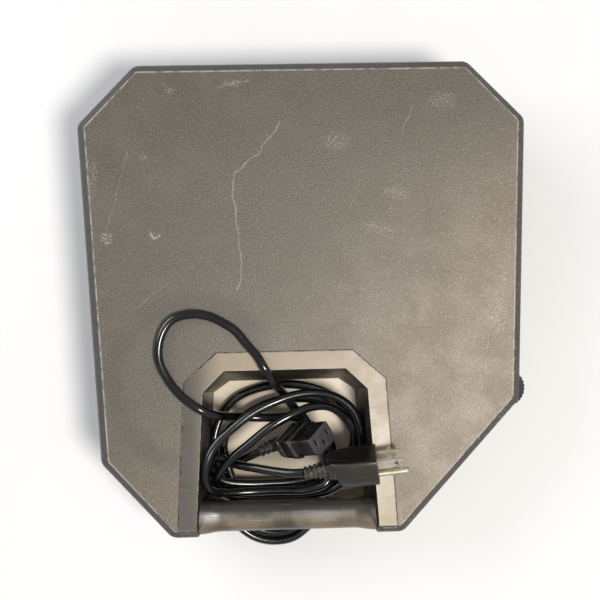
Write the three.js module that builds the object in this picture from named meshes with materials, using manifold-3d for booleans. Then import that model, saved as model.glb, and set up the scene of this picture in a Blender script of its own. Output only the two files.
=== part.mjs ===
// Electronic percussion multi-pad, resting on its playing side with its back up.
// Millimetres. +Z is up (out of the flat back), -Y is the carry-handle edge, +Y the jack edge.
// The origin is on the resting surface, under the middle of the case.

import * as THREE from 'three';
import { mergeVertices } from 'three/addons/utils/BufferGeometryUtils.js';
import Module from 'manifold-3d';

const wasm = await Module();
wasm.setup();

// ---------------------------------------------------------------- driving dimensions

// Case outline, at its widest level
const TOP_Y = 170;
const TOP_HALF = 120;
const SHOULDER_Y = 128;
const SHOULDER_HALF = 161.5;
const RIGHT_TAPER = 0.039;
const LEFT_TAPER = 0.049;
const RIGHT_FOOT_Y = -76;
const LEFT_FOOT_Y = -115;
const BOTTOM_Y = -170;
const BOTTOM_HALF = 83.5;
const CORNER_R = 9;
const CORNER_STEPS = 5;

// Case levels and walls
const BACK_Z = 84;
const BEVEL_IN = 6.5;
const RIM_Z = 75;
const PARTING_Z = 32;
const BEZEL_Z = 5;
const WALL = 3;
const BACK_WALL = 4;
const DRAFT_IN = 2;
const GAP = 0.3;

// Handle pocket, centred on HANDLE_X and open at the -Y edge
const HANDLE_X = -16.5;
const POCKET_FLOOR_Z = 38;
const POCKET_TOP_Y = -50;
const POCKET_SIDE_Y = -65;
const POCKET_END_Y = -180;
const POCKET_TOP_HALF = 43.5;
const POCKET_SIDE_HALF = 59;
const POCKET_END_HALF = 66.5;
const POCKET_DRAFT_TOP = 11;
const POCKET_DRAFT_SIDE = 5.5;
const POCKET_WALL = 2.5;
const FLANGE_IN = 13;
const FLANGE_T = 2.4;

// Handle bar
const BAR_Y = -157;
const BAR_Z = 66;
const BAR_WIDE = 22;
const BAR_TALL = 18;
const BAR_FLARE = 5;
const BAR_STRAIGHT_HALF = 50;
const BAR_END_HALF = 66;

// Playing pads: rows of three, three and two
const PAD_W = 88;
const PAD_H = 66;
const PAD_PITCH_X = 92;
const PAD_PITCH_Y = 70;
const PAD_ROW_Y = 55;
const PAD_T = 9;
const PAD_R = 6;
const PAD_LIP = 2;
const PAD_ROWS = [[-1, 0, 1], [-1, 0, 1], [-0.5, 0.5]];

// Control panel on the playing side
const PANEL_Y = 124;
const PANEL_W = 208;
const PANEL_H = 48;
const PANEL_Z = 8.3;
const PANEL_T = 2;
const DISPLAY_X = -56;
const DISPLAY_W = 78;
const DISPLAY_H = 28;
const BUTTON_X = [2, 21, 40, 59];
const BUTTON_W = 12;
const BUTTON_TIP_Z = 4.5;
const DIAL_X = 87;
const DIAL_R = 12;
const DIAL_TIP_Z = 3;

// Jack panel on the +Y side
const JACK_Z = 56;
const JACK_WINDOW_W = 216;
const JACK_WINDOW_H = 30;
const JACK_PANEL_Y = 162;
const JACK_PANEL_T = 2.4;
const INLET_X = -86;
const ROCKER_X = -50;
const MIDI_X = [-18, 6];
const JACK_X = [38, 64, 90];

// Volume thumbwheel in the right side
const WHEEL_X = 144.8;
const WHEEL_Y = -68;
const WHEEL_Z = 61;
const WHEEL_T = 10;
const WHEEL_R = 14;

// Power lead
const CORD_R = 3.2;
const CORD_SIDES = 10;
const COIL_X = -17;
const COIL_Y = -104;
const COIL_A = 54.2;
const COIL_B = 40.5;
const COIL_HOLE = 0.68;
const COIL_TOP_Z = 58;

// ---------------------------------------------------------------- materials

function finish(color, roughness, metalness = 0) {
  return new THREE.MeshStandardMaterial({ color, roughness, metalness });
}

const FINISH = {
  back: finish(0x8b8073, 0.72),
  insert: finish(0xa09484, 0.6),
  bar: finish(0x6e665c, 0.4),
  bezel: finish(0x2a2a2c, 0.6),
  rubber: finish(0x1c1c1e, 0.85),
  glossBlack: finish(0x121214, 0.3),
  cord: finish(0x17171a, 0.35),
  smoked: finish(0x15191c, 0.12),
  board: finish(0x1d5a36, 0.5),
  steel: finish(0xb4b7ba, 0.35, 0.9),
  brass: finish(0xc8a868, 0.3, 0.9),
};

// ---------------------------------------------------------------- outlines

// The eight corners of the case, counter-clockwise seen from above.
function caseCorners() {
  const halfAt = (y, taper) => SHOULDER_HALF - taper * (SHOULDER_Y - y);
  return [
    [HANDLE_X - BOTTOM_HALF, BOTTOM_Y],
    [HANDLE_X + BOTTOM_HALF, BOTTOM_Y],
    [halfAt(RIGHT_FOOT_Y, RIGHT_TAPER), RIGHT_FOOT_Y],
    [SHOULDER_HALF, SHOULDER_Y],
    [TOP_HALF, TOP_Y],
    [-TOP_HALF, TOP_Y],
    [-SHOULDER_HALF, SHOULDER_Y],
    [-halfAt(LEFT_FOOT_Y, LEFT_TAPER), LEFT_FOOT_Y],
  ];
}

// Where two lines meet, each given by a point and a direction.
function meet(p, d, q, e) {
  const cross = d.x * e.y - d.y * e.x;
  const t = ((q.x - p.x) * e.y - (q.y - p.y) * e.x) / cross;
  return p.clone().addScaledVector(d, t);
}

// Moves each side of a counter-clockwise polygon inwards (outwards if the distance is negative).
function inset(corners, distance) {
  const points = corners.map(([x, y]) => new THREE.Vector2(x, y));
  const count = points.length;
  const sides = points.map((point, i) => {
    const direction = points[(i + 1) % count].clone().sub(point).normalize();
    const inward = new THREE.Vector2(-direction.y, direction.x);
    return { start: point.clone().addScaledVector(inward, distance), direction };
  });
  return sides.map((side, i) => {
    const before = sides[(i + count - 1) % count];
    return meet(before.start, before.direction, side.start, side.direction).toArray();
  });
}

// Rounds every corner of a polygon with an arc of a few steps.
function roundCorners(corners, radius, steps = CORNER_STEPS) {
  const points = corners.map(([x, y]) => new THREE.Vector2(x, y));
  const count = points.length;
  return points.flatMap((corner, i) => {
    const before = points[(i + count - 1) % count].clone().sub(corner).normalize();
    const after = points[(i + 1) % count].clone().sub(corner).normalize();
    const half = Math.acos(before.dot(after)) / 2;
    const reach = radius / Math.tan(half);
    const start = corner.clone().addScaledVector(before, reach);
    const end = corner.clone().addScaledVector(after, reach);
    const arc = new THREE.QuadraticBezierCurve(start, corner, end);
    return arc.getPoints(steps).map((point) => point.toArray());
  });
}

function caseOutline(distance) {
  return roundCorners(inset(caseCorners(), distance), CORNER_R);
}

function rectangle(width, height, x = 0, y = 0) {
  const w = width / 2;
  const h = height / 2;
  return [[x - w, y - h], [x + w, y - h], [x + w, y + h], [x - w, y + h]];
}

function roundedRectangle(width, height, radius, x = 0, y = 0) {
  return roundCorners(rectangle(width, height, x, y), radius, 2);
}

// Handle-pocket outline, widened or narrowed at its top edge and at its sides.
function pocketOutline(outTop, outSide, chamferShift = 0) {
  const top = POCKET_TOP_Y + outTop;
  const side = POCKET_SIDE_Y + outTop * 0.4 + chamferShift;
  return [
    [HANDLE_X - POCKET_END_HALF - outSide, POCKET_END_Y],
    [HANDLE_X + POCKET_END_HALF + outSide, POCKET_END_Y],
    [HANDLE_X + POCKET_SIDE_HALF + outSide, side],
    [HANDLE_X + POCKET_TOP_HALF + outSide * 0.4, top],
    [HANDLE_X - POCKET_TOP_HALF - outSide * 0.4, top],
    [HANDLE_X - POCKET_SIDE_HALF - outSide, side],
  ];
}

// ---------------------------------------------------------------- solids

// A closed solid through rings of equal point count, given as [outline, z] from the bottom up.
function loft(rings) {
  const count = rings[0][0].length;
  const position = rings.flatMap(([outline, z]) => outline.flatMap(([x, y]) => [x, y, z]));
  const index = [];
  for (let ring = 0; ring + 1 < rings.length; ring += 1) {
    for (let i = 0; i < count; i += 1) {
      const a = ring * count + i;
      const b = ring * count + ((i + 1) % count);
      index.push(a, b, b + count, a, b + count, a + count);
    }
  }
  const capOf = (outline) => THREE.ShapeUtils.triangulateShape(
    outline.map(([x, y]) => new THREE.Vector2(x, y)), []);
  const topStart = (rings.length - 1) * count;
  capOf(rings[0][0]).forEach(([a, b, c]) => index.push(c, b, a));
  capOf(rings.at(-1)[0]).forEach(([a, b, c]) => index.push(topStart + a, topStart + b, topStart + c));
  const geometry = new THREE.BufferGeometry();
  geometry.setAttribute('position', new THREE.Float32BufferAttribute(position, 3));
  geometry.setIndex(index);
  return geometry;
}

function slab(outline, zLow, zHigh) {
  return loft([[outline, zLow], [outline, zHigh]]);
}

function block(xLow, xHigh, yLow, yHigh, zLow, zHigh) {
  const geometry = new THREE.BoxGeometry(xHigh - xLow, yHigh - yLow, zHigh - zLow);
  return geometry.translate((xLow + xHigh) / 2, (yLow + yHigh) / 2, (zLow + zHigh) / 2);
}

// A cylinder standing on z = low.
function post(radius, low, high, x = 0, y = 0, sides = 16) {
  const geometry = new THREE.CylinderGeometry(radius, radius, high - low, sides);
  return geometry.rotateX(Math.PI / 2).translate(x, y, (low + high) / 2);
}

// A cylinder lying along Y, from one y to another.
function rodY(radius, x, yLow, yHigh, z, sides = 16) {
  const geometry = new THREE.CylinderGeometry(radius, radius, yHigh - yLow, sides);
  return geometry.translate(x, (yLow + yHigh) / 2, z);
}

function rodX(radius, xLow, xHigh, y, z, sides = 12) {
  const geometry = new THREE.CylinderGeometry(radius, radius, xHigh - xLow, sides);
  return geometry.rotateZ(Math.PI / 2).translate((xLow + xHigh) / 2, y, z);
}

function solidOf(geometry) {
  const bare = geometry.clone();
  bare.deleteAttribute('normal');
  bare.deleteAttribute('uv');
  const merged = mergeVertices(bare, 1e-4);
  return new wasm.Manifold(new wasm.Mesh({
    numProp: 3,
    vertProperties: new Float32Array(merged.attributes.position.array),
    triVerts: new Uint32Array(merged.index.array),
  }));
}

function geometryOf(solid) {
  const mesh = solid.getMesh();
  const geometry = new THREE.BufferGeometry();
  geometry.setAttribute('position', new THREE.BufferAttribute(mesh.vertProperties, 3));
  geometry.setIndex(new THREE.BufferAttribute(mesh.triVerts, 1));
  return geometry;
}

// Joins the geometries in add, then cuts away those in cut and keeps what is inside those in keep.
function shape(add, cut = [], keep = []) {
  const joined = add.map(solidOf).reduce((all, next) => all.add(next));
  const hollowed = cut.map(solidOf).reduce((all, next) => all.subtract(next), joined);
  return geometryOf(keep.map(solidOf).reduce((all, next) => all.intersect(next), hollowed));
}

const object = new THREE.Group();

function addPart(name, geometry, material) {
  const mesh = new THREE.Mesh(geometry, material);
  mesh.name = name;
  object.add(mesh);
}

// ---------------------------------------------------------------- case

const BOSSES = [[-116, 148], [116, 148], [-118, -124], [78, -130]];
const BOSS_R = 5.5;
const SCREW_R = 1.8;
const SCREW_HEAD_R = 4;
const SCREW_HEAD_Z = 6.6;
const SCREW_TIP_Z = 44;

function caseBody() {
  return loft([
    [caseOutline(DRAFT_IN), PARTING_Z],
    [caseOutline(0), RIM_Z],
    [caseOutline(1.4), RIM_Z + 3.2],
    [caseOutline(BEVEL_IN), BACK_Z],
  ]);
}

function pocketVoid(grow = 0) {
  const narrowed = pocketOutline(grow - POCKET_DRAFT_TOP, grow - POCKET_DRAFT_SIDE);
  const slope = 1.5;
  const above = BACK_Z + slope;
  const spread = slope / (BACK_Z - POCKET_FLOOR_Z);
  const widened = pocketOutline(grow + POCKET_DRAFT_TOP * spread, grow + POCKET_DRAFT_SIDE * spread);
  return loft([[narrowed, POCKET_FLOOR_Z - grow], [widened, above]]);
}

function flangePlate(grow, thickness) {
  return slab(pocketOutline(FLANGE_IN + grow, FLANGE_IN + grow, 1.8), BACK_Z - thickness, BACK_Z + 2);
}

function addRearShell() {
  const cavity = loft([
    [caseOutline(DRAFT_IN + WALL), PARTING_Z - 1],
    [caseOutline(WALL), RIM_Z - 2],
    [caseOutline(BEVEL_IN + WALL), BACK_Z - BACK_WALL],
  ]);
  const tubSpace = pocketVoid(POCKET_WALL + GAP);
  const flangeSpace = flangePlate(GAP, FLANGE_T + GAP);
  const windowHalf = JACK_WINDOW_W / 2;
  const jackWindow = block(-windowHalf, windowHalf, JACK_PANEL_Y - 5, TOP_Y + 5,
    JACK_Z - JACK_WINDOW_H / 2, JACK_Z + JACK_WINDOW_H / 2);
  const wheelSlot = block(WHEEL_X - 4, WHEEL_X + 40, WHEEL_Y - 15, WHEEL_Y + 15,
    WHEEL_Z - 0.7, WHEEL_Z + WHEEL_T + 0.7);
  const posts = BOSSES.map(([x, y]) => post(BOSS_R, PARTING_Z + GAP, BACK_Z - 2, x, y));
  const holes = BOSSES.map(([x, y]) => post(SCREW_R + GAP, PARTING_Z - 1, SCREW_TIP_Z + 2, x, y, 12));
  const hollow = geometryOf(solidOf(caseBody()).subtract(solidOf(cavity)));
  addPart('rear_shell', shape([hollow, ...posts],
    [tubSpace, flangeSpace, jackWindow, wheelSlot, ...holes]), FINISH.back);
}

function padCentres() {
  return PAD_ROWS.flatMap((row, r) => row.map((column) => [
    column * PAD_PITCH_X - (r === 2 ? 2 : 0),
    PAD_ROW_Y - r * PAD_PITCH_Y,
  ]));
}

function addFrontShell() {
  const outer = loft([
    [caseOutline(11), BEZEL_Z],
    [caseOutline(6), BEZEL_Z + 5],
    [caseOutline(DRAFT_IN), PARTING_Z - GAP],
  ]);
  const cavity = loft([
    [caseOutline(11 + WALL), BEZEL_Z + WALL],
    [caseOutline(6 + WALL), BEZEL_Z + 7],
    [caseOutline(DRAFT_IN + WALL), PARTING_Z + 1],
  ]);
  const windows = padCentres().map(([x, y]) =>
    slab(roundedRectangle(PAD_W + 1, PAD_H + 1, PAD_R, x, y), 0, BEZEL_Z + WALL + 1));
  const panelWindow = slab(roundedRectangle(PANEL_W - 8, PANEL_H - 8, 4, 0, PANEL_Y), 0, 10);
  const posts = BOSSES.map(([x, y]) => post(BOSS_R, BEZEL_Z + 1, PARTING_Z - GAP, x, y));
  const holes = BOSSES.map(([x, y]) => post(SCREW_R + GAP, 0, PARTING_Z + 1, x, y, 12));
  const headHoles = BOSSES.map(([x, y]) => post(SCREW_HEAD_R + GAP, 0, SCREW_HEAD_Z + 3 + GAP, x, y));
  const hollow = geometryOf(solidOf(outer).subtract(solidOf(cavity)));
  addPart('front_shell', shape([hollow, ...posts],
    [...windows, panelWindow, ...holes, ...headHoles]), FINISH.bezel);
}

function addCaseScrews() {
  BOSSES.forEach(([x, y], i) => {
    const head = post(SCREW_HEAD_R, SCREW_HEAD_Z, SCREW_HEAD_Z + 3, x, y, 12);
    const shank = post(SCREW_R, SCREW_HEAD_Z + 2, SCREW_TIP_Z, x, y, 10);
    const slotLong = block(x - 2.5, x + 2.5, y - 0.5, y + 0.5, SCREW_HEAD_Z - 1, SCREW_HEAD_Z + 1.5);
    const slotAcross = block(x - 0.5, x + 0.5, y - 2.5, y + 2.5, SCREW_HEAD_Z - 1, SCREW_HEAD_Z + 1.5);
    addPart(`case_screw_${i + 1}`, shape([head, shank], [slotLong, slotAcross]), FINISH.steel);
  });
}

// ---------------------------------------------------------------- handle

const HANDLE_SCREW_R = 2;

function addHandleInsert() {
  const tub = pocketVoid(POCKET_WALL);
  const flange = flangePlate(0, FLANGE_T);
  const screwHoles = [rodX(HANDLE_SCREW_R + GAP, HANDLE_X - 90, HANDLE_X + 90, BAR_Y, BAR_Z)];
  addPart('handle_insert', shape([tub, flange], [pocketVoid(), ...screwHoles], [caseBody()]),
    FINISH.insert);
}

// A flattened round section in the plane across the bar.
function barSection(wide, tall) {
  return roundCorners(rectangle(wide, tall), tall * 0.42, 4);
}

function addHandleBar() {
  const flared = barSection(BAR_WIDE + BAR_FLARE, BAR_TALL + BAR_FLARE);
  const straight = barSection(BAR_WIDE, BAR_TALL);
  const bar = loft([
    [flared, -BAR_END_HALF],
    [straight, -BAR_STRAIGHT_HALF],
    [straight, BAR_STRAIGHT_HALF],
    [flared, BAR_END_HALF],
  ]);
  bar.rotateX(Math.PI / 2).rotateZ(Math.PI / 2).translate(HANDLE_X, BAR_Y, BAR_Z);
  const hole = rodX(HANDLE_SCREW_R + GAP, 0, 30, BAR_Y, BAR_Z);
  const leftHole = hole.clone().translate(HANDLE_X - 76, 0, 0);
  const rightHole = hole.clone().translate(HANDLE_X + 46, 0, 0);
  addPart('handle_bar', shape([bar], [leftHole, rightHole], [pocketVoid(-GAP), caseBody()]), FINISH.bar);
}

function addHandleScrews() {
  [['left', -1], ['right', 1]].forEach(([side, sign]) => {
    const inner = HANDLE_X + sign * (BAR_STRAIGHT_HALF - 2);
    const outer = HANDLE_X + sign * (BAR_END_HALF + GAP);
    const shank = rodX(HANDLE_SCREW_R, Math.min(inner, outer), Math.max(inner, outer), BAR_Y, BAR_Z);
    const head = rodX(SCREW_HEAD_R, -1.5, 1.5, BAR_Y, BAR_Z).translate(outer + sign * 1.5, 0, 0);
    addPart(`handle_screw_${side}`, shape([shank, head]), FINISH.steel);
  });
}

// ---------------------------------------------------------------- pads and sensing

const SENSOR_Z = PAD_T + GAP;
const SENSOR_T = 0.8;
const TRAY_Z = SENSOR_Z + SENSOR_T + GAP;
const TRAY_T = 2;

function addPads() {
  padCentres().forEach(([x, y], i) => {
    const crown = loft([
      [roundedRectangle(PAD_W - 3, PAD_H - 3, PAD_R - 1, x, y), 0],
      [roundedRectangle(PAD_W, PAD_H, PAD_R, x, y), 1.5],
      [roundedRectangle(PAD_W, PAD_H, PAD_R, x, y), BEZEL_Z + WALL + GAP + 0.2],
    ]);
    const lip = slab(roundedRectangle(PAD_W + PAD_LIP, PAD_H + PAD_LIP, PAD_R, x, y),
      BEZEL_Z + WALL + GAP, PAD_T);
    addPart(`pad_${i + 1}`, shape([crown, lip]), FINISH.rubber);
  });
}

function addSensorsAndTray() {
  PAD_ROWS.forEach((row, r) => {
    const width = (row.length - 1) * PAD_PITCH_X + PAD_W - 8;
    const x = r === 2 ? -2 : 0;
    const y = PAD_ROW_Y - r * PAD_PITCH_Y;
    const sheet = slab(rectangle(width, PAD_H - 12, x, y), SENSOR_Z, SENSOR_Z + SENSOR_T);
    addPart(`sensor_strip_${r + 1}`, sheet, FINISH.board);
  });
  const width = 3 * PAD_W;
  const rows = padCentres();
  const high = PAD_ROW_Y + PAD_H / 2;
  const low = rows.at(-1)[1] - PAD_H / 2;
  const wide = [[-width / 2, -46], [width / 2, -46], [width / 2, high], [-width / 2, high]];
  const narrow = [[-92, low], [88, low], [88, -40], [-92, -40]];
  const tray = shape([slab(wide, TRAY_Z, TRAY_Z + TRAY_T), slab(narrow, TRAY_Z, TRAY_Z + TRAY_T)]);
  addPart('pad_tray', tray, FINISH.steel);
}

// ---------------------------------------------------------------- boards inside

const BOARD_T = 1.6;
const MAIN_BOARD_Z = TRAY_Z + TRAY_T + 3;
const POWER_BOARD_Z = 40;
const PANEL_BOARD_Z = 16;

function addBoards() {
  const main = block(-110, 110, -30, 84, MAIN_BOARD_Z, MAIN_BOARD_Z + BOARD_T);
  const top = MAIN_BOARD_Z + BOARD_T - 0.2;
  const processor = block(-20, 8, 10, 38, top, top + 2.6);
  const memory = block(24, 44, 12, 24, top, top + 1.8);
  const connector = block(-70, -40, 70, 78, top, top + 7);
  const spacers = [[-104, 78], [104, 78], [-104, -24], [104, -24]].map(([x, y]) =>
    post(3, TRAY_Z + TRAY_T + GAP, MAIN_BOARD_Z + 0.5, x, y, 8));
  addPart('main_board', shape([main, processor, memory, connector, ...spacers]), FINISH.board);

  const power = block(-128, -60, 92, 134, POWER_BOARD_Z, POWER_BOARD_Z + BOARD_T);
  const capacitor = post(8, POWER_BOARD_Z + 1, POWER_BOARD_Z + 26, -116, 104, 12);
  const regulator = block(-84, -78, 96, 112, POWER_BOARD_Z + 1, POWER_BOARD_Z + 18);
  addPart('power_board', shape([power, capacitor, regulator]), FINISH.board);

  const core = block(-48, 4, 92, 130, POWER_BOARD_Z, POWER_BOARD_Z + 36);
  const coilOuter = block(-40, -4, 84, 138, POWER_BOARD_Z + 6, POWER_BOARD_Z + 30);
  addPart('transformer', shape([core, coilOuter]), FINISH.steel);
}

// ---------------------------------------------------------------- control panel

function addControlPanel() {
  const plate = slab(roundedRectangle(PANEL_W - 2, PANEL_H - 2, 4, 0, PANEL_Y), PANEL_Z, PANEL_Z + PANEL_T);
  const displayHole = slab(rectangle(DISPLAY_W, DISPLAY_H, DISPLAY_X, PANEL_Y), 0, 20);
  const buttonHoles = BUTTON_X.map((x) =>
    slab(rectangle(BUTTON_W + 2 * GAP, BUTTON_W + 2 * GAP, x, PANEL_Y), 0, 20));
  const dialHole = post(3.6, 0, 20, DIAL_X, PANEL_Y);
  addPart('control_panel', shape([plate], [displayHole, ...buttonHoles, dialHole]), FINISH.glossBlack);

  const lens = roundedRectangle(DISPLAY_W - 2 * GAP, DISPLAY_H - 2 * GAP, 1, DISPLAY_X, PANEL_Y);
  addPart('display_window', slab(lens, PANEL_Z, PANEL_Z + PANEL_T), FINISH.smoked);
  const lcd = block(DISPLAY_X - 36, DISPLAY_X + 36, PANEL_Y - 12, PANEL_Y + 12,
    PANEL_Z + PANEL_T + GAP, PANEL_BOARD_Z - GAP);
  addPart('lcd_module', lcd, FINISH.steel);

  const board = block(-100, 101, PANEL_Y - 20, PANEL_Y + 20, PANEL_BOARD_Z, PANEL_BOARD_Z + BOARD_T);
  addPart('panel_board', board, FINISH.board);
}

function addButtons() {
  BUTTON_X.forEach((x, i) => {
    const cap = slab(roundedRectangle(BUTTON_W, BUTTON_W, 1.5, x, PANEL_Y), BUTTON_TIP_Z, 11);
    const flange = slab(rectangle(BUTTON_W + 3, BUTTON_W + 3, x, PANEL_Y), PANEL_Z + PANEL_T + GAP, 11.6);
    const stem = post(2, 11, 13.6, x, PANEL_Y, 10);
    addPart(`button_${i + 1}`, shape([cap, flange, stem]), FINISH.rubber);
  });
}

// A wheel outline with shallow flutes round it.
function flutedOutline(radius, flutes, depth, x, y) {
  const steps = flutes * 4;
  return Array.from({ length: steps }, (_, i) => {
    const angle = (i / steps) * 2 * Math.PI;
    const r = radius - (i % 4 === 0 ? depth : 0);
    return [x + r * Math.cos(angle), y + r * Math.sin(angle)];
  });
}

function addDial() {
  const rim = slab(flutedOutline(DIAL_R, 20, 0.7, DIAL_X, PANEL_Y), DIAL_TIP_Z, PANEL_Z - 0.5);
  const bore = post(2.2 + GAP, DIAL_TIP_Z + 1.5, 20, DIAL_X, PANEL_Y, 12);
  addPart('value_dial', shape([rim], [bore]), FINISH.rubber);
  const shaft = post(2.2, DIAL_TIP_Z + 2, 13, DIAL_X, PANEL_Y, 12);
  const bush = post(3.3, PANEL_Z, 13, DIAL_X, PANEL_Y, 12);
  const can = block(DIAL_X - 6, DIAL_X + 6, PANEL_Y - 6, PANEL_Y + 6, 11, PANEL_BOARD_Z - GAP);
  addPart('dial_encoder', shape([shaft, bush, can]), FINISH.steel);
}

// ---------------------------------------------------------------- jack side

const INLET_W = 24.4;
const INLET_H = 17.2;
const INLET_DEPTH = 17;
const JACK_FRONT_Y = JACK_PANEL_Y + JACK_PANEL_T + GAP;
const ROCKER_R = 8.4;
const ROCKER_W = 11;
const ROCKER_Y = JACK_PANEL_Y - 1;
const ROCKER_FACE = 5.5;
const ROCKER_TILT = Math.PI / 20;

// A block across the jack panel, centred on x at jack height.
function jackBlock(x, width, height, yLow, yHigh) {
  return block(x - width / 2, x + width / 2, yLow, yHigh, JACK_Z - height / 2, JACK_Z + height / 2);
}

function addJackPanel() {
  const plate = jackBlock(0, JACK_WINDOW_W + 10, JACK_WINDOW_H + 6,
    JACK_PANEL_Y, JACK_PANEL_Y + JACK_PANEL_T);
  const holes = [
    jackBlock(INLET_X, 28.6, 21.6, 150, 180),
    jackBlock(ROCKER_X, 15.6, 23.6, 150, 180),
    ...MIDI_X.map((x) => rodY(8.1, x, 150, 180, JACK_Z)),
    ...JACK_X.map((x) => rodY(5.1, x, 150, 180, JACK_Z)),
  ];
  addPart('jack_panel', shape([plate], holes), FINISH.bezel);
}

function addInlet() {
  const flange = jackBlock(INLET_X, 33, 26, JACK_FRONT_Y, JACK_FRONT_Y + 2);
  const body = jackBlock(INLET_X, 28, 21, JACK_FRONT_Y - 22, JACK_FRONT_Y + 1);
  const front = JACK_FRONT_Y + 2;
  const socket = jackBlock(INLET_X, INLET_W, INLET_H, front - INLET_DEPTH, front + 1);
  const bevel = new THREE.BoxGeometry(7, 60, 7).rotateY(Math.PI / 4);
  const cutLeft = bevel.clone().translate(INLET_X - INLET_W / 2, front, JACK_Z + INLET_H / 2);
  const cutRight = bevel.clone().translate(INLET_X + INLET_W / 2, front, JACK_Z + INLET_H / 2);
  const keyed = shape([socket], [cutLeft, cutRight]);
  const pins = [['line', -7, -2], ['neutral', 7, -2], ['earth', 0, 2]];
  const pinBlock = (dx, dz, grow) => block(INLET_X + dx - 1 - grow, INLET_X + dx + 1 + grow,
    front - 28, front - 3, JACK_Z + dz - 2 - grow, JACK_Z + dz + 2 + grow);
  const pinHoles = pins.map(([, dx, dz]) => pinBlock(dx, dz, GAP));
  addPart('iec_inlet', shape([flange, body], [keyed, ...pinHoles]), FINISH.glossBlack);
  pins.forEach(([name, dx, dz]) => addPart(`inlet_pin_${name}`, pinBlock(dx, dz, 0), FINISH.brass));
}

function addRocker() {
  const frame = jackBlock(ROCKER_X, 18, 26, JACK_FRONT_Y, JACK_FRONT_Y + 1.6);
  const sleeve = jackBlock(ROCKER_X, 15, 23, JACK_FRONT_Y - 16, JACK_FRONT_Y + 1);
  const well = jackBlock(ROCKER_X, ROCKER_W + 1, 2 * ROCKER_R + 1.2, ROCKER_Y - 9.5, JACK_FRONT_Y + 3);
  addPart('rocker_frame', shape([frame, sleeve], [well]), FINISH.glossBlack);

  // A drum cut to two facets that meet in a shallow valley, switched off at rest.
  const drum = rodX(ROCKER_R, -ROCKER_W / 2, ROCKER_W / 2, 0, 0, 28);
  const cutter = () => new THREE.BoxGeometry(40, 20, 40);
  const upper = cutter().translate(0, 10, 19).rotateX(-ROCKER_TILT).translate(0, ROCKER_FACE, 0);
  const lower = cutter().translate(0, 10, -19).rotateX(ROCKER_TILT).translate(0, ROCKER_FACE, 0);
  const back = cutter().translate(0, -14, 0);
  const rocker = shape([drum], [upper, lower, back]);
  rocker.rotateX(ROCKER_TILT).translate(ROCKER_X, ROCKER_Y, JACK_Z);
  addPart('power_rocker', rocker, FINISH.glossBlack);
}

function addJacks() {
  ['output_jack_right', 'output_jack_left', 'phones_jack'].forEach((name, i) => {
    const x = JACK_X[i];
    const box = jackBlock(x, 15, 15, JACK_PANEL_Y - 24, JACK_PANEL_Y - GAP);
    const bush = rodY(4.8, x, JACK_PANEL_Y - 1, JACK_FRONT_Y + 3.4, JACK_Z);
    const nut = rodY(7, x, JACK_FRONT_Y, JACK_FRONT_Y + 2.2, JACK_Z, 6);
    const bore = rodY(3.3, x, JACK_PANEL_Y - 20, JACK_FRONT_Y + 6, JACK_Z, 12);
    addPart(name, shape([box, bush, nut], [bore]), FINISH.steel);
  });
  ['midi_in_socket', 'midi_out_socket'].forEach((name, i) => {
    const x = MIDI_X[i];
    const box = jackBlock(x, 20, 20, JACK_PANEL_Y - 16, JACK_PANEL_Y - GAP);
    const barrel = rodY(7.7, x, JACK_PANEL_Y - 1, JACK_FRONT_Y + 0.6, JACK_Z);
    const holes = [-90, -45, 0, 45, 90].map((turn) => {
      const angle = THREE.MathUtils.degToRad(turn);
      return rodY(0.9, x + 4.6 * Math.sin(angle), JACK_PANEL_Y - 6, JACK_FRONT_Y + 3,
        JACK_Z + 4.6 * Math.cos(angle), 6);
    });
    addPart(name, shape([box, barrel], holes), FINISH.glossBlack);
  });
}

function addVolumeWheel() {
  const rim = slab(flutedOutline(WHEEL_R, 30, 0.6, WHEEL_X, WHEEL_Y), WHEEL_Z, WHEEL_Z + WHEEL_T);
  const bore = post(3 + GAP, WHEEL_Z - 1, WHEEL_Z + WHEEL_T + 1, WHEEL_X, WHEEL_Y, 16);
  addPart('volume_wheel', shape([rim], [bore]), FINISH.rubber);
  const shaft = post(3, 56, WHEEL_Z + WHEEL_T - 1, WHEEL_X, WHEEL_Y, 16);
  const can = block(WHEEL_X - 12, WHEEL_X + 2, WHEEL_Y - 8, WHEEL_Y + 8, 46, WHEEL_Z - 1);
  addPart('volume_pot', shape([shaft, can]), FINISH.steel);
}

// ---------------------------------------------------------------- power lead

const degrees = THREE.MathUtils.degToRad;

// How a piece built along its own +X lies: where it starts, its heading, its rise and its roll.
function lying(start, yaw, pitch, roll = 0) {
  const turn = new THREE.Euler(degrees(roll), degrees(-pitch), degrees(yaw), 'ZYX');
  return new THREE.Matrix4().makeRotationFromEuler(turn).setPosition(...start);
}

// Tapered collar with ribs, its small end at x = 0.
function ribbedRelief(length, smallR, bigR, ribs) {
  const profile = [new THREE.Vector2(0, 0)];
  for (let i = 0; i < ribs; i += 1) {
    const radius = smallR + (bigR - smallR) * (i / (ribs - 1));
    const waist = radius * 0.82;
    const low = (i / ribs) * length;
    const high = ((i + 1) / ribs) * length;
    const ribEnd = low + 0.62 * (high - low);
    [[radius, low], [radius, ribEnd], [waist, ribEnd], [waist, high]].forEach(([r, along]) => {
      profile.push(new THREE.Vector2(r, along));
    });
  }
  profile.push(new THREE.Vector2(0, length));
  return new THREE.LatheGeometry(profile, 12).rotateZ(-Math.PI / 2);
}

// Connector: a relief that rises out of the coil, then shoulders and a keyed nose with three slots.
const RELIEF_LIES = lying([-36, -113.5, 47.5], 21.3, 20.3);
const RELIEF_LONG = 23;
const CONNECTOR_LIES = lying([-17.8, -106.4, 54.7], 12, 46, 112);
const SHOULDER_LONG = 20;
const NOSE_LONG = 20;

// Outline across the connector, in its Y and Z, with the two key corners cut.
function keyedSection(width, height, cut) {
  const w = width / 2;
  const h = height / 2;
  return [[-w, -h], [w, -h], [w, h - cut], [w - cut, h], [-w + cut, h], [-w, h - cut]];
}

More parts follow.
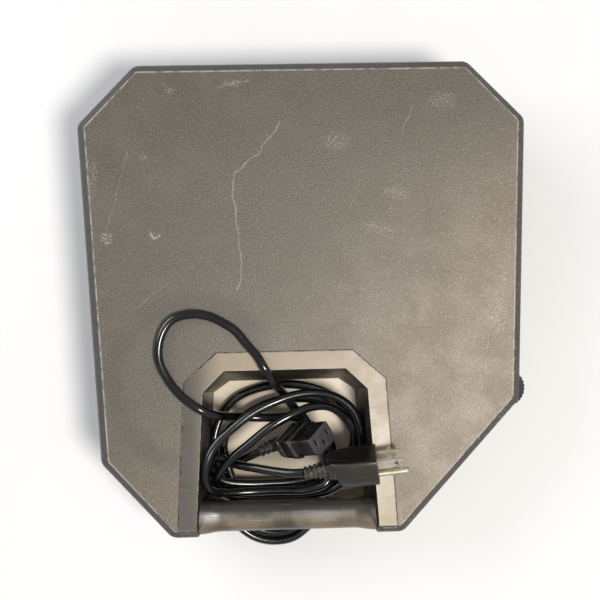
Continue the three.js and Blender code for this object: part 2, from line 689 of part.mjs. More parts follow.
// A loft whose rings stand across +X.
function loftAlongX(rings) {
  return loft(rings).rotateX(Math.PI / 2).rotateZ(Math.PI / 2);
}

function addConnector() {
  const relief = ribbedRelief(RELIEF_LONG, 4.4, 5.6, 4).applyMatrix4(RELIEF_LIES);
  const shoulder = loftAlongX([
    [keyedSection(14, 12, 2), 0],
    [keyedSection(27, 20, 5), 7],
    [keyedSection(27, 20, 5), SHOULDER_LONG],
  ]);
  const noseEnd = SHOULDER_LONG + NOSE_LONG;
  const nose = loftAlongX([
    [keyedSection(24, 16.4, 5), SHOULDER_LONG - 1],
    [keyedSection(24, 16.4, 5), noseEnd],
  ]);
  const slots = [[-7, -2], [7, -2], [0, 2]].map(([y, z]) =>
    block(noseEnd - 14, noseEnd + 2, y - 1.3, y + 1.3, z - 2.6, z + 2.6));
  const body = shape([shoulder, nose], slots).applyMatrix4(CONNECTOR_LIES);
  addPart('connector_body', shape([body, relief]), FINISH.glossBlack);
}

// Mains plug: relief, a moulded body flat on one side and round on the other, blades and earth pin.
const PLUG_LIES = lying([-4.5, -122.5, 92], 6.5, 7, 111);
const PLUG_RELIEF = 17;
const PLUG_BODY = 36;
const PLUG_W = 26;
const BLADE_LONG = 17.5;
const EARTH_LONG = 21.5;

function plugSection(width, flat, round) {
  const w = width / 2;
  const arc = [];
  for (let i = 0; i <= 8; i += 1) {
    const angle = (i / 8) * Math.PI;
    arc.push([w * Math.cos(angle), round * Math.sin(angle)]);
  }
  return [[-w * 0.8, -flat], [w * 0.8, -flat], ...arc];
}

function addPlug() {
  const relief = ribbedRelief(PLUG_RELIEF, 4.4, 6.2, 5);
  const start = PLUG_RELIEF - 1;
  const body = loftAlongX([
    [plugSection(14, 6, 6), start],
    [plugSection(PLUG_W, 10, 15), start + 9],
    [plugSection(PLUG_W, 10, 15), start + PLUG_BODY],
  ]);
  addPart('plug_body', shape([relief, body]).applyMatrix4(PLUG_LIES), FINISH.glossBlack);
  const face = start + PLUG_BODY + GAP;
  [['line', -6.35], ['neutral', 6.35]].forEach(([name, y]) => {
    const blade = block(face, face + BLADE_LONG, y - 0.8, y + 0.8, -6.5, -0.2);
    const hole = rodY(1.6, face + BLADE_LONG - 4.5, y - 3, y + 3, -3.3, 10);
    addPart(`plug_blade_${name}`, shape([blade], [hole]).applyMatrix4(PLUG_LIES), FINISH.brass);
  });
  const earth = rodX(2.4, face, face + EARTH_LONG - 2, 0, 7.6, 12);
  const tip = new THREE.SphereGeometry(2.4, 12, 8).translate(face + EARTH_LONG - 2.4, 0, 7.6);
  addPart('plug_earth_pin', shape([earth, tip]).applyMatrix4(PLUG_LIES), FINISH.brass);
}

// Round tube along a smooth curve through the given points.
function cordTube(points, steps) {
  const curve = new THREE.CatmullRomCurve3(points.map((point) => new THREE.Vector3(...point)),
    false, 'centripetal');
  const section = new THREE.Shape();
  section.absarc(0, 0, CORD_R, 0, 2 * Math.PI);
  return new THREE.ExtrudeGeometry(section, {
    steps, curveSegments: CORD_SIDES / 2, bevelEnabled: false, extrudePath: curve,
  });
}

// The loop of lead that rises out of the pocket and lies on the back.
const LOOP_ROUTE = [
  [-11, -82, 61.8], [-17, -72, 67], [-24.5, -60, 82], [-31, -49, 88.8], [-36, -40, 88], [-43, -31.5, 87.4],
  [-50.5, -22, 87.4], [-59, -16, 87.4], [-69, -11, 87.4], [-82, -9, 87.4], [-96, -13, 87.4],
  [-104, -25, 87.4], [-105.5, -40, 87.4], [-100.5, -53, 87.4], [-91, -66, 87.8], [-84, -72, 88.6],
  [-77, -77, 88.8], [-68, -81.5, 84], [-58, -85, 72.5], [-47.5, -87.5, 63.5], [-37, -89.5, 61.8],
];

// The two-strand tail that is tucked under the handle bar, drawn as its outer strand.
const TAIL_ROUTE = [
  [-60, -147, 41.6], [-59, -158, 41.6], [-52, -170, 41.6], [-40, -179, 41.6], [-26, -182, 41.6],
  [-12, -179.5, 41.6], [0, -170, 41.6], [8, -158, 41.6], [13, -149, 41.6],
];

// From the coil up to the plug's relief.
const PLUG_ROUTE = [
  [-66, -115, 61.8], [-60, -118, 62.5], [-50, -120.5, 67], [-38, -121.5, 75], [-25, -122.6, 83.5],
  [-14, -123.1, 89.5], [-4.9, -122.6, 91.9],
];

function addCord() {
  addPart('cord_loop', cordTube(LOOP_ROUTE, 28), FINISH.cord);
  addPart('cord_tail', cordTube(TAIL_ROUTE, 14), FINISH.cord);
  addPart('cord_plug_lead', cordTube(PLUG_ROUTE, 10), FINISH.cord);

  const low = POCKET_FLOOR_Z + GAP;
  const profile = [
    new THREE.Vector2(COIL_HOLE, low), new THREE.Vector2(1, low), new THREE.Vector2(1, COIL_TOP_Z),
    new THREE.Vector2(COIL_HOLE, COIL_TOP_Z), new THREE.Vector2(COIL_HOLE, low),
  ];
  const ring = new THREE.LatheGeometry(profile, 28).rotateX(Math.PI / 2);
  ring.scale(COIL_A, COIL_B, 1).translate(COIL_X, COIL_Y, 0);
  addPart('cord_coil', ring, FINISH.cord);
}

// ---------------------------------------------------------------- the object

addRearShell();
addFrontShell();
addCaseScrews();
addHandleInsert();
addHandleBar();
addHandleScrews();
addPads();
addSensorsAndTray();
addBoards();
addControlPanel();
addButtons();
addDial();
addJackPanel();
addInlet();
addRocker();
addJacks();
addVolumeWheel();
addConnector();
addPlug();
addCord();

export default object;
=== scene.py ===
"""Electronic drum pad lying on its playing side: the looks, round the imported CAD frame.

Metres, in the frame's own axes: +Z up out of the back, -Y the carry-handle edge, +Y the jack edge.
"""
import math

import bmesh
import bpy
import numpy as np
from mathutils import Matrix, Vector


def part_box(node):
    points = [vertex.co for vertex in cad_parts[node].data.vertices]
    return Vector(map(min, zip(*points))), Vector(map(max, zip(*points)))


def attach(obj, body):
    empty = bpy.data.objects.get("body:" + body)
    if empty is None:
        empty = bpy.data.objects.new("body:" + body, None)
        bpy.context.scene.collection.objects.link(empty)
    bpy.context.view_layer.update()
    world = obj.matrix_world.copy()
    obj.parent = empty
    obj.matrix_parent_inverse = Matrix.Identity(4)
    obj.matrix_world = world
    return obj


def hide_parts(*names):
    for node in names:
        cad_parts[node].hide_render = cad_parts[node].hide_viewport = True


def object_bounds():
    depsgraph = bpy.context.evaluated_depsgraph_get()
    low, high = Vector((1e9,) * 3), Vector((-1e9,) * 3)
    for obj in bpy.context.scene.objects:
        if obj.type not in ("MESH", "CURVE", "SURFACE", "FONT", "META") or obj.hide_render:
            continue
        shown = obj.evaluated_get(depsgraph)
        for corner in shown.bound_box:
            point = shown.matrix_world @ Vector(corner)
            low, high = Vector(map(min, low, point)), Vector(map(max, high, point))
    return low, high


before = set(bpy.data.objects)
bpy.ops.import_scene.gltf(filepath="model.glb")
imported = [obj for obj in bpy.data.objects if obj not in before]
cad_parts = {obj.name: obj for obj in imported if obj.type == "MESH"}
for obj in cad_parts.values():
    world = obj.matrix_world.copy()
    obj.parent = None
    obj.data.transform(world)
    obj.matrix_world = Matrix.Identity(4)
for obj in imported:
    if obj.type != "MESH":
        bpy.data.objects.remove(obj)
CAD_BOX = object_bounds()
BODY = "chassis"
MM = 0.001

# ---------------------------------------------------------------- camera

# Turns about X, Y and Z in degrees, and where the camera sees the middle of the back
CAMERA_TURNS = (0.27, 1.81, 1.26)
CAMERA_SEES = Vector((0.00461, 0.00069, -0.7))
CAMERA_LENS = 58.87


def add_camera():
    x, y, z = (math.radians(turn) for turn in CAMERA_TURNS)
    to_camera = Matrix.Rotation(z, 3, "Z") @ Matrix.Rotation(y, 3, "Y") @ Matrix.Rotation(x, 3, "X")
    to_world = to_camera.transposed()
    back_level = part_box("rear_shell")[1].z
    place = to_world @ -CAMERA_SEES + Vector((0, 0, back_level))
    camera = bpy.data.objects.new("camera", bpy.data.cameras.new("camera"))
    camera.data.lens = CAMERA_LENS
    camera.matrix_world = Matrix.Translation(place) @ to_world.to_4x4()
    bpy.context.collection.objects.link(camera)
    bpy.context.scene.camera = camera


# ---------------------------------------------------------------- power lead

CORD_D = 0.0064
CORD_R = CORD_D / 2
CORD_STEP = 0.0025

# The handle pocket: its middle, levels, half widths at the back's level, and how far each wall draws in
HANDLE_X = -0.0165
BACK_LEVEL = 0.084
POCKET_FLOOR = 0.038
POCKET_TOP_Y = -0.050
POCKET_TOP_HALF = 0.0435
POCKET_SIDE_Y = -0.065
POCKET_SIDE_HALF = 0.059
POCKET_END_Y = -0.180
POCKET_END_HALF = 0.0665
TOP_DRAFT = 0.011
SIDE_DRAFT = 0.0055
CORNER_DRAFT = 0.0085
CORNER_NORMAL = (0.6954, 0.7186)

# The handle bar's middle and half its size across
BAR_Y = -0.157
BAR_Z = 0.066
BAR_HALF_DEEP = 0.011
BAR_HALF_TALL = 0.009

# From the connector down to the pocket's floor
CONNECTOR_ROUTE = [
    (-0.0360, -0.1135, 0.0475), (-0.0425, -0.1166, 0.0466), (-0.0505, -0.1204, 0.0438),
    (-0.0590, -0.1255, 0.0418), (-0.0645, -0.1330, 0.0414), (-0.0640, -0.1420, 0.0414),
    (-0.0590, -0.1480, 0.0414), (-0.0490, -0.1510, 0.0414),
]
# The strand tucked out under the handle bar
TAIL_ROUTE = [
    (-0.0600, -0.1470, 0.0416), (-0.0590, -0.1580, 0.0416), (-0.0520, -0.1700, 0.0416),
    (-0.0400, -0.1790, 0.0416), (-0.0260, -0.1820, 0.0416), (-0.0120, -0.1795, 0.0416),
    (0.0000, -0.1700, 0.0416), (0.0080, -0.1580, 0.0416), (0.0130, -0.1490, 0.0416),
]
# The two arcs that lie on top of the bundle
LOW_ARC_ROUTE = [
    (0.0335, -0.1200, 0.0520), (0.0355, -0.1050, 0.0530), (0.0330, -0.0940, 0.0550),
    (0.0260, -0.0860, 0.0580), (0.0155, -0.0795, 0.0630), (0.0020, -0.0790, 0.0685),
    (-0.0140, -0.0845, 0.0735), (-0.0280, -0.0920, 0.0750), (-0.0430, -0.1035, 0.0740),
    (-0.0575, -0.1155, 0.0710), (-0.0670, -0.1270, 0.0660), (-0.0690, -0.1370, 0.0580),
    (-0.0620, -0.1450, 0.0500), (-0.0470, -0.1475, 0.0480), (-0.0240, -0.1480, 0.0480),
    (0.0000, -0.1470, 0.0480), (0.0200, -0.1410, 0.0510),
]
HIGH_ARC_ROUTE = [
    (0.0350, -0.1280, 0.0560), (0.0410, -0.1120, 0.0590), (0.0400, -0.0970, 0.0610),
    (0.0340, -0.0825, 0.0640), (0.0225, -0.0730, 0.0670), (0.0070, -0.0685, 0.0710),
    (-0.0090, -0.0692, 0.0745), (-0.0240, -0.0735, 0.0775), (-0.0395, -0.0805, 0.0790),
    (-0.0555, -0.0920, 0.0800), (-0.0685, -0.1045, 0.0800), (-0.0745, -0.1170, 0.0800),
    (-0.0755, -0.1285, 0.0775), (-0.0715, -0.1370, 0.0700), (-0.0620, -0.1415, 0.0610),
    (-0.0470, -0.1420, 0.0560), (-0.0240, -0.1420, 0.0545), (-0.0020, -0.1420, 0.0545),
]
# Under the connector and up to the loop
PASS_ROUTE = [
    (0.0125, -0.1370, 0.0555), (0.0150, -0.1280, 0.0530), (0.0110, -0.1150, 0.0510),
    (0.0040, -0.1020, 0.0520), (-0.0040, -0.0910, 0.0565),
]
# The loop that rises out of the pocket and lies on the back
LOOP_ROUTE = [
    (-0.0110, -0.0820, 0.0618), (-0.0170, -0.0720, 0.0670), (-0.0245, -0.0600, 0.0820),
    (-0.0310, -0.0490, 0.0888), (-0.0360, -0.0400, 0.0880), (-0.0430, -0.0315, 0.0874),
    (-0.0505, -0.0220, 0.0874), (-0.0590, -0.0160, 0.0874), (-0.0690, -0.0110, 0.0874),
    (-0.0820, -0.0090, 0.0874), (-0.0960, -0.0130, 0.0874), (-0.1040, -0.0250, 0.0874),
    (-0.1055, -0.0400, 0.0874), (-0.1005, -0.0530, 0.0874), (-0.0910, -0.0660, 0.0878),
    (-0.0840, -0.0720, 0.0886), (-0.0770, -0.0770, 0.0888), (-0.0680, -0.0815, 0.0840),
    (-0.0580, -0.0850, 0.0725), (-0.0475, -0.0875, 0.0635), (-0.0370, -0.0895, 0.0618),
]
# Back into the pocket, once round under the plug
RETURN_ROUTE = [
    (-0.0220, -0.0925, 0.0580), (-0.0060, -0.0965, 0.0550), (0.0080, -0.1030, 0.0525),
    (0.0170, -0.1130, 0.0510), (0.0160, -0.1250, 0.0500), (0.0060, -0.1335, 0.0490),
    (-0.0100, -0.1370, 0.0480), (-0.0300, -0.1375, 0.0485), (-0.0480, -0.1370, 0.0500),
    (-0.0620, -0.1345, 0.0530), (-0.0705, -0.1290, 0.0560), (-0.0738, -0.1220, 0.0590),
    (-0.0718, -0.1165, 0.0608),
]
PLUG_ROUTE = [
    (-0.0660, -0.1150, 0.0618), (-0.0600, -0.1180, 0.0625), (-0.0500, -0.1205, 0.0670),
    (-0.0380, -0.1215, 0.0750), (-0.0250, -0.1226, 0.0835), (-0.0140, -0.1231, 0.0895),
    (-0.0049, -0.1226, 0.0919),
]
# The turns under the arcs: a first angle, then a share of the ring and a height every 45 degrees
RING_CENTRE = (-0.017, -0.104)
RING_HALF = (0.0542, 0.0405)
RING_STATION = 45
FLOOR_Z = 0.0414
SECOND_Z = 0.0476
FLOOR_TURN = (270, [(1.13, FLOOR_Z), (1.08, FLOOR_Z), (0.97, FLOOR_Z), (1.0, FLOOR_Z),
                    (0.98, FLOOR_Z), (1.0, FLOOR_Z), (0.98, FLOOR_Z)])
INNER_TURN = (315, [(1.08, 0.046), (0.97, SECOND_Z), (0.86, SECOND_Z), (0.72, SECOND_Z),
                    (0.69, SECOND_Z), (0.84, SECOND_Z)])


def ring_turn(first_angle, stations):
    points = []
    for step, (share, height) in enumerate(stations):
        angle = math.radians(first_angle + RING_STATION * step)
        x = RING_CENTRE[0] + share * RING_HALF[0] * math.cos(angle)
        y = RING_CENTRE[1] + share * RING_HALF[1] * math.sin(angle)
        points.append((x, y, height))
    return points


def inner_tail():
    """The tail's second strand, a diameter inside the first."""
    points = []
    for x, y, z in TAIL_ROUTE:
        inward = Vector((RING_CENTRE[0] - x, RING_CENTRE[1] - y)).normalized() * CORD_D * 1.05
        points.append((x + inward.x, y + inward.y, z + 0.0005))
    return points


def lead_route():
    return (
        CONNECTOR_ROUTE + ring_turn(*FLOOR_TURN) + TAIL_ROUTE + ring_turn(*INNER_TURN) + inner_tail()
        + LOW_ARC_ROUTE + HIGH_ARC_ROUTE + PASS_ROUTE + LOOP_ROUTE + RETURN_ROUTE + PLUG_ROUTE
    )


def resample(line, spacing):
    steps = np.linalg.norm(np.diff(line, axis=0), axis=1)
    along = np.concatenate([[0], np.cumsum(steps)])
    count = int(round(along[-1] / spacing)) + 1
    stations = np.linspace(0, along[-1], count)
    return np.stack([np.interp(stations, along, line[:, axis]) for axis in range(3)], axis=1)


def smooth_line(points, spacing):
    """A centripetal Catmull-Rom curve through the points, as points a fixed distance apart."""
    p = np.array(points)
    p = np.vstack([2 * p[0] - p[1], p, 2 * p[-1] - p[-2]])
    dense = []
    for p0, p1, p2, p3 in zip(p, p[1:], p[2:], p[3:]):
        t1 = np.linalg.norm(p1 - p0) ** 0.5
        t2 = t1 + np.linalg.norm(p2 - p1) ** 0.5
        t3 = t2 + np.linalg.norm(p3 - p2) ** 0.5
        t = np.linspace(t1, t2, 16, endpoint=False)[:, None]
        a1 = (t1 - t) / t1 * p0 + t / t1 * p1
        a2 = (t2 - t) / (t2 - t1) * p1 + (t - t1) / (t2 - t1) * p2
        a3 = (t3 - t) / (t3 - t2) * p2 + (t - t2) / (t3 - t2) * p3
        b1 = (t2 - t) / t2 * a1 + t / t2 * a2
        b2 = (t3 - t) / (t3 - t1) * a2 + (t - t1) / (t3 - t1) * a3
        dense.append((t2 - t) / (t2 - t1) * b1 + (t - t1) / (t2 - t1) * b2)
    dense.append(p[-2:-1])
    return resample(np.vstack(dense), spacing)


# Where each piece starts, then its yaw, pitch and roll in degrees.
# The connector's relief bends up into the connector.
RELIEF_LIES = ((-0.036, -0.1135, 0.0475), 25, 8, 112)
CONNECTOR_LIES = ((-0.0178, -0.1064, 0.0547), 12, 46, 112)
PLUG_LIES = ((-0.0045, -0.1225, 0.092), 6.5, 7, 111)


def lying(start, yaw, pitch, roll):
    """The matrix of a piece built along +X whose start, heading, rise and roll are given."""
    turn = Matrix.Rotation(math.radians(yaw), 4, "Z")
    rise = Matrix.Rotation(math.radians(-pitch), 4, "Y")
    spin = Matrix.Rotation(math.radians(roll), 4, "X")
    return Matrix.Translation(start) @ turn @ rise @ spin


# What the lead lies against, as boxes in the frame or along a piece: matrix, low and high corners in mm
LEAD_BLOCKS = [
    (lying(*RELIEF_LIES), (3, -5.6, -5.6), (20, 5.6, 5.6)),
    (lying(*CONNECTOR_LIES), (0, -13.5, -10), (20, 13.5, 10)),
    (lying(*CONNECTOR_LIES), (19, -12, -8.2), (41, 12, 8.2)),
    (lying(*PLUG_LIES), (0, -6, -6), (17, 6, 6)),
    (lying(*PLUG_LIES), (16, -13, -10), (53, 13, 15)),
    (Matrix.Translation((HANDLE_X, BAR_Y, BAR_Z)), (-66, -11, -9), (66, 11, 9)),
]


def push_out_of_block(line, matrix, low, high):
    """Moves the points inside a block to its nearest side, never along its X."""
    axes = np.array(matrix.to_3x3())
    start = np.array(matrix.translation)
    room = np.array([0, CORD_R, CORD_R])
    low = np.array(low) * MM - room
    high = np.array(high) * MM + room
    local = (line - start) @ axes
    inside = np.all((local > low) & (local < high), axis=1)
    for i in np.nonzero(inside)[0]:
        nearest = np.minimum(local[i] - low, high - local[i])
        axis = 1 if nearest[1] < nearest[2] else 2
        to_low = local[i, axis] - low[axis] < high[axis] - local[i, axis]
        local[i, axis] = low[axis] if to_low else high[axis]
    line[inside] = (local @ axes.T + start)[inside]


def pocket_half(y, z):
    """Half the pocket's width at a place on its drafted side walls."""
    depth = np.clip((BACK_LEVEL - z) / (BACK_LEVEL - POCKET_FLOOR), 0, 1)
    share = np.clip((POCKET_SIDE_Y - y) / (POCKET_SIDE_Y - POCKET_END_Y), 0, 1)
    return POCKET_SIDE_HALF + (POCKET_END_HALF - POCKET_SIDE_HALF) * share - SIDE_DRAFT * depth


def keep_in_pocket(line):
    """Keeps the strands below the back inside the pocket's drafted walls and cut corners."""
    depth = np.clip((BACK_LEVEL - line[:, 2]) / (BACK_LEVEL - POCKET_FLOOR), 0, 1)
    half = pocket_half(line[:, 1], line[:, 2]) - CORD_R
    low = line[:, 2] < BACK_LEVEL - MM
    line[low, 0] = np.clip(line[low, 0], HANDLE_X - half[low], HANDLE_X + half[low])
    top = POCKET_TOP_Y - TOP_DRAFT * depth - CORD_R
    line[low, 1] = np.minimum(line[low, 1], top[low])
    across, up = CORNER_NORMAL
    for side in (-1, 1):
        normal = np.array([side * across, up])
        reach = POCKET_TOP_HALF * across + POCKET_TOP_Y * up - CORNER_DRAFT * depth - CORD_R
        past = (line[:, :2] - [HANDLE_X, 0]) @ normal - reach
        out = low & (past > 0)
        line[out, :2] -= past[out, None] * normal


# How the strands are rested: rounds, points held at each end, points too near along the lead to count as
# touching, the touching distance, smoothing passes, and how much of each shift is kept
SETTLE_ROUNDS = 220
HELD_POINTS = 8
NEAR_POINTS = 8
TOUCH = CORD_D * 1.02
SMOOTHING_PASSES = 3
SHIFT_KEPT = 0.995


def settle(line):
    """Rests the strands beside each other and on what holds them, while the lead stays smooth."""
    start_line = line.copy()
    count = len(line)
    free = np.ones((count, 1))
    free[:HELD_POINTS, 0] = np.linspace(0, 1, HELD_POINTS)
    free[-HELD_POINTS:, 0] = np.linspace(1, 0, HELD_POINTS)
    numbers = np.arange(count)
    apart = np.abs(numbers[:, None] - numbers[None, :]) > NEAR_POINTS
    for _ in range(SETTLE_ROUNDS):
        between = line[:, None, :] - line[None, :, :]
        distance = np.sqrt((between ** 2).sum(axis=2))
        i, j = np.nonzero((distance < TOUCH) & apart)
        close = np.maximum(distance[i, j], 1e-6)
        push = ((TOUCH - close) / close)[:, None] * between[i, j] / 2
        total = np.zeros_like(line)
        np.add.at(total, i, push)
        line = line + total / np.maximum(np.bincount(i, minlength=count), 1)[:, None]
        for block in LEAD_BLOCKS:
            push_out_of_block(line, *block)
        keep_in_pocket(line)
        line[:, 2] = np.maximum(line[:, 2], POCKET_FLOOR + CORD_R)
        shift = (line - start_line) * free
        for _ in range(SMOOTHING_PASSES):
            shift[1:-1] = (shift[:-2] + 2 * shift[1:-1] + shift[2:]) / 4
        line = start_line + shift * SHIFT_KEPT
    return line


def tube_rings(line, radius, sides=20):
    """Round sections along a line, each turned as little as possible from the one before."""
    points = [Vector(place) for place in line]
    across = Vector((0, 0, 1))
    rings = []
    for before, here, after in zip(points[:1] + points[:-1], points, points[1:] + points[-1:]):
        heading = (after - before).normalized()
        across = (across - heading * across.dot(heading)).normalized()
        beside = heading.cross(across)
        angles = [2 * math.pi * side / sides for side in range(sides)]
        rings.append([here + (across * math.cos(a) + beside * math.sin(a)) * radius for a in angles])
    return rings


def add_lead():
    line = settle(smooth_line(lead_route(), CORD_STEP))
    lead = loft("power_lead", tube_rings(line, CORD_R))
    finish_piece(lead, "cord_jacket", "cord_loop", "cord_tail", "cord_plug_lead", "cord_coil")
    return lead, line


# ---------------------------------------------------------------- material helpers


def srgb(red, green, blue):
    """A display colour, 0 to 255, as the linear colour that shaders take."""
    def linear(value):
        value /= 255
        return value / 12.92 if value <= 0.04045 else ((value + 0.055) / 1.055) ** 2.4
    return (linear(red), linear(green), linear(blue), 1)


# The joint line round the handle insert, in mm, from the left foot to the right
SEAM = [(-96, -180), (-88.5, -58), (-65.2, -37), (32.2, -37), (55.5, -58), (63, -180)]
# Where the level back turns down into its bevel, in mm
RIM = [(-97.5, -163.5), (64, -163.5), (147, -73.5), (155, 125), (117.5, 163.5), (-117.5, 163.5),
       (-155, 125), (-143, -112.5), (-97.5, -163.5)]


class Look:
    """One procedural material, built node by node."""

    def __init__(self, name):
        self.material = bpy.data.materials.new(name)
        self.material.use_nodes = True
        self.tree = self.material.node_tree
        self.tree.nodes.clear()
        output = self.add("ShaderNodeOutputMaterial")
        self.shader = self.add("ShaderNodeBsdfPrincipled")
        self.join(self.shader.outputs["BSDF"], output.inputs["Surface"])
        self.place = self.add("ShaderNodeTexCoord").outputs["Object"]

    def add(self, kind, **settings):
        node = self.tree.nodes.new(kind)
        for key, value in settings.items():
            setattr(node, key, value)
        return node

    def join(self, source, socket):
        """Links a node's output to a socket, or sets the socket's own value."""
        if isinstance(source, bpy.types.NodeSocket):
            self.tree.links.new(source, socket)
        else:
            socket.default_value = source

    def set(self, **values):
        for name, value in values.items():
            self.join(value, self.shader.inputs[name.replace("_", " ")])

    def math(self, operation, first, second=0.0, clamp=False):
        node = self.add("ShaderNodeMath", operation=operation, use_clamp=clamp)
        self.join(first, node.inputs[0])
        self.join(second, node.inputs[1])
        return node.outputs[0]

    def vector(self, operation, first, second=(0, 0, 0), output="Vector"):
        node = self.add("ShaderNodeVectorMath", operation=operation)
        self.join(first, node.inputs[0])
        self.join(second, node.inputs[1])
        return node.outputs[output]

    def ramp(self, value, start, end, low=0.0, high=1.0):
        """Smoothly from low at start to high at end."""
        node = self.add("ShaderNodeMapRange", interpolation_type="SMOOTHSTEP")
        for name, number in zip(("Value", "From Min", "From Max", "To Min", "To Max"),
                                (value, start, end, low, high)):
            self.join(number, node.inputs[name])
        return node.outputs["Result"]

    def mix(self, share, first, second, mode="MIX"):
        node = self.add("ShaderNodeMix", data_type="RGBA", blend_type=mode)
        colour_inputs = [socket for socket in node.inputs if socket.type == "RGBA"]
        self.join(share, node.inputs[0])
        self.join(first, colour_inputs[0])
        self.join(second, colour_inputs[1])
        return [socket for socket in node.outputs if socket.type == "RGBA"][0]

    def noise(self, scale, detail=3, roughness=0.55, at=None):
        node = self.add("ShaderNodeTexNoise")
        self.join(at or self.place, node.inputs["Vector"])
        node.inputs["Scale"].default_value = scale
        node.inputs["Detail"].default_value = detail
        node.inputs["Roughness"].default_value = roughness
        return node.outputs["Fac"]

    def cells(self, scale):
        """The distance to the nearest of many scattered points."""
        node = self.add("ShaderNodeTexVoronoi")
        self.join(self.place, node.inputs["Vector"])
        node.inputs["Scale"].default_value = scale
        return node.outputs["Distance"]

    def stretched(self, turn, scales):
        """The place, turned about Z and scaled, for marks that run one way."""
        node = self.add("ShaderNodeMapping")
        self.join(self.place, node.inputs["Vector"])
        node.inputs["Rotation"].default_value = (0, 0, math.radians(turn))
        node.inputs["Scale"].default_value = scales
        return node.outputs["Vector"]

    def bump(self, height, distance, strength, under=None):
        node = self.add("ShaderNodeBump")
        self.join(height, node.inputs["Height"])
        node.inputs["Distance"].default_value = distance
        node.inputs["Strength"].default_value = strength
        if under:
            self.join(under, node.inputs["Normal"])
        return node.outputs["Normal"]

    def edges(self, radius, start=0.01, end=0.15):
        """1 along outer and inner edges, from how far a rounded normal turns from the true one."""
        rounded = self.add("ShaderNodeBevel", samples=4)
        rounded.inputs["Radius"].default_value = radius
        flat = self.add("ShaderNodeNewGeometry").outputs["Normal"]
        along = self.vector("DOT_PRODUCT", rounded.outputs["Normal"], flat, output="Value")
        return self.ramp(self.math("SUBTRACT", 1.0, along), start, end)

    def upward(self):
        """1 where the surface faces straight up, 0 on its slopes and sides."""
        normal = self.add("ShaderNodeNewGeometry").outputs["True Normal"]
        up = self.vector("DOT_PRODUCT", normal, (0, 0, 1), output="Value")
        return self.ramp(up, 0.86, 0.985)

    def along(self, direction, start, end):
        """0 to 1 between two places along a direction, in metres."""
        place = self.vector("DOT_PRODUCT", self.place, direction, output="Value")
        return self.ramp(place, start, end)

    def rim(self, width=0.0009):
        """1 along the edge where the level back turns down into its bevel."""
        past = -1.0
        for start, end in zip(RIM, RIM[1:]):
            run = (Vector(end) - Vector(start)).normalized()
            outward = Vector((run.y, -run.x, 0))
            reach = outward.dot(Vector((*start, 0))) * MM
            side = self.vector("DOT_PRODUCT", self.place, tuple(outward), output="Value")
            past = self.math("MAXIMUM", past, self.math("SUBTRACT", side, reach))
        return self.ramp(self.math("ABSOLUTE", past), width, width * 0.35)

    def seam(self, width=0.75):
        """1 along the joint line between the case and the handle insert."""
        flat = self.vector("MULTIPLY", self.place, (1 / MM, 1 / MM, 0))
        line = 0.0
        for start, end in zip(SEAM, SEAM[1:]):
            line = self.math("MAXIMUM", line, self.on_line(start, end, width, flat))
        return line

    def hairlines(self, turn, density, fineness, threshold):
        """Sparse long scratches that run one way."""
        lines = self.noise(1.0, detail=2, at=self.stretched(turn, (density, fineness, density)))
        return self.ramp(lines, threshold, threshold + 0.03)

    def on_line(self, start, end, width, at):
        """1 on a straight mark from start to end, fading over its width."""
        run = Vector(end) - Vector(start)
        away = self.vector("SUBTRACT", at, (start[0], start[1], 0))
        dot = self.vector("DOT_PRODUCT", away, (run.x, run.y, 0), output="Value")
        share = self.math("DIVIDE", dot, run.length_squared, clamp=True)
        scale = self.add("ShaderNodeVectorMath", operation="SCALE")
        scale.inputs[0].default_value = (run.x, run.y, 0)
        self.join(share, scale.inputs["Scale"])
        off = self.vector("SUBTRACT", away, scale.outputs[0])
        distance = self.vector("LENGTH", off, output="Value")
        return self.ramp(distance, width, width * 0.35)

    def on_spot(self, centre, half_x, half_y, at, inner=0.3):
        """1 in the middle of an oval patch, fading to its rim."""
        away = self.vector("SUBTRACT", at, (centre[0], centre[1], 0))
        scaled = self.vector("MULTIPLY", away, (1 / half_x, 1 / half_y, 0))
        distance = self.vector("LENGTH", scaled, output="Value")
        return self.ramp(distance, 1.0, inner)


# ---------------------------------------------------------------- materials

# Marks on the back, in mm: polylines with a width and a strength, then scuffed patches
LONG_CRACK = [(-16, 126), (-32, 105), (-49, 91), (-51, 73), (-49, 64), (-47, 42), (-45, 27), (-49, 7)]
SCRATCHES = [
    (LONG_CRACK, 0.6, 0.34),
    ([(-125, 106), (-133, 80), (-141, 51)], 0.5, 0.16),
    ([(80, 138), (71, 117)], 0.55, 0.22),
    ([(40, 86), (33, 65)], 0.5, 0.14),
    ([(-121, -4), (-99, 13)], 0.5, 0.14),
    ([(-110, 50), (-107, 45.5), (-103, 47)], 0.8, 0.6),
    ([(127, -31), (130, -31), (127, -56)], 0.6, 0.22),
    ([(59, 78), (74, 71)], 1.2, 0.14),
    ([(42, 53), (63, 47)], 1.2, 0.14),
    ([(-60, 152), (-38, 157)], 1.2, 0.16),
]
SCUFFS = [
    ((-141, 46), 5, 5, 0.75), ((-114, 103), 4, 3, 0.4), ((-49, 155), 9, 4, 0.5), ((-94, 150), 5, 3, 0.4),
    ((24, 112), 14, 10, 0.3), ((66, 74), 12, 7, 0.3), ((52, 50), 14, 6, 0.3), ((136, -14), 10, 20, 0.6),
    ((-107, 47), 5, 4, 0.45), ((142, -95), 8, 18, 0.3), ((100, 140), 14, 9, 0.25),
    ((-150, 90), 6, 20, 0.25),
]
# The painted shadow of the lead's loop on the back: the middle and radius of a soft dark ring, in mm
LOOP_SHADOW_CENTRE = (-82, -58)
LOOP_SHADOW_R = 57


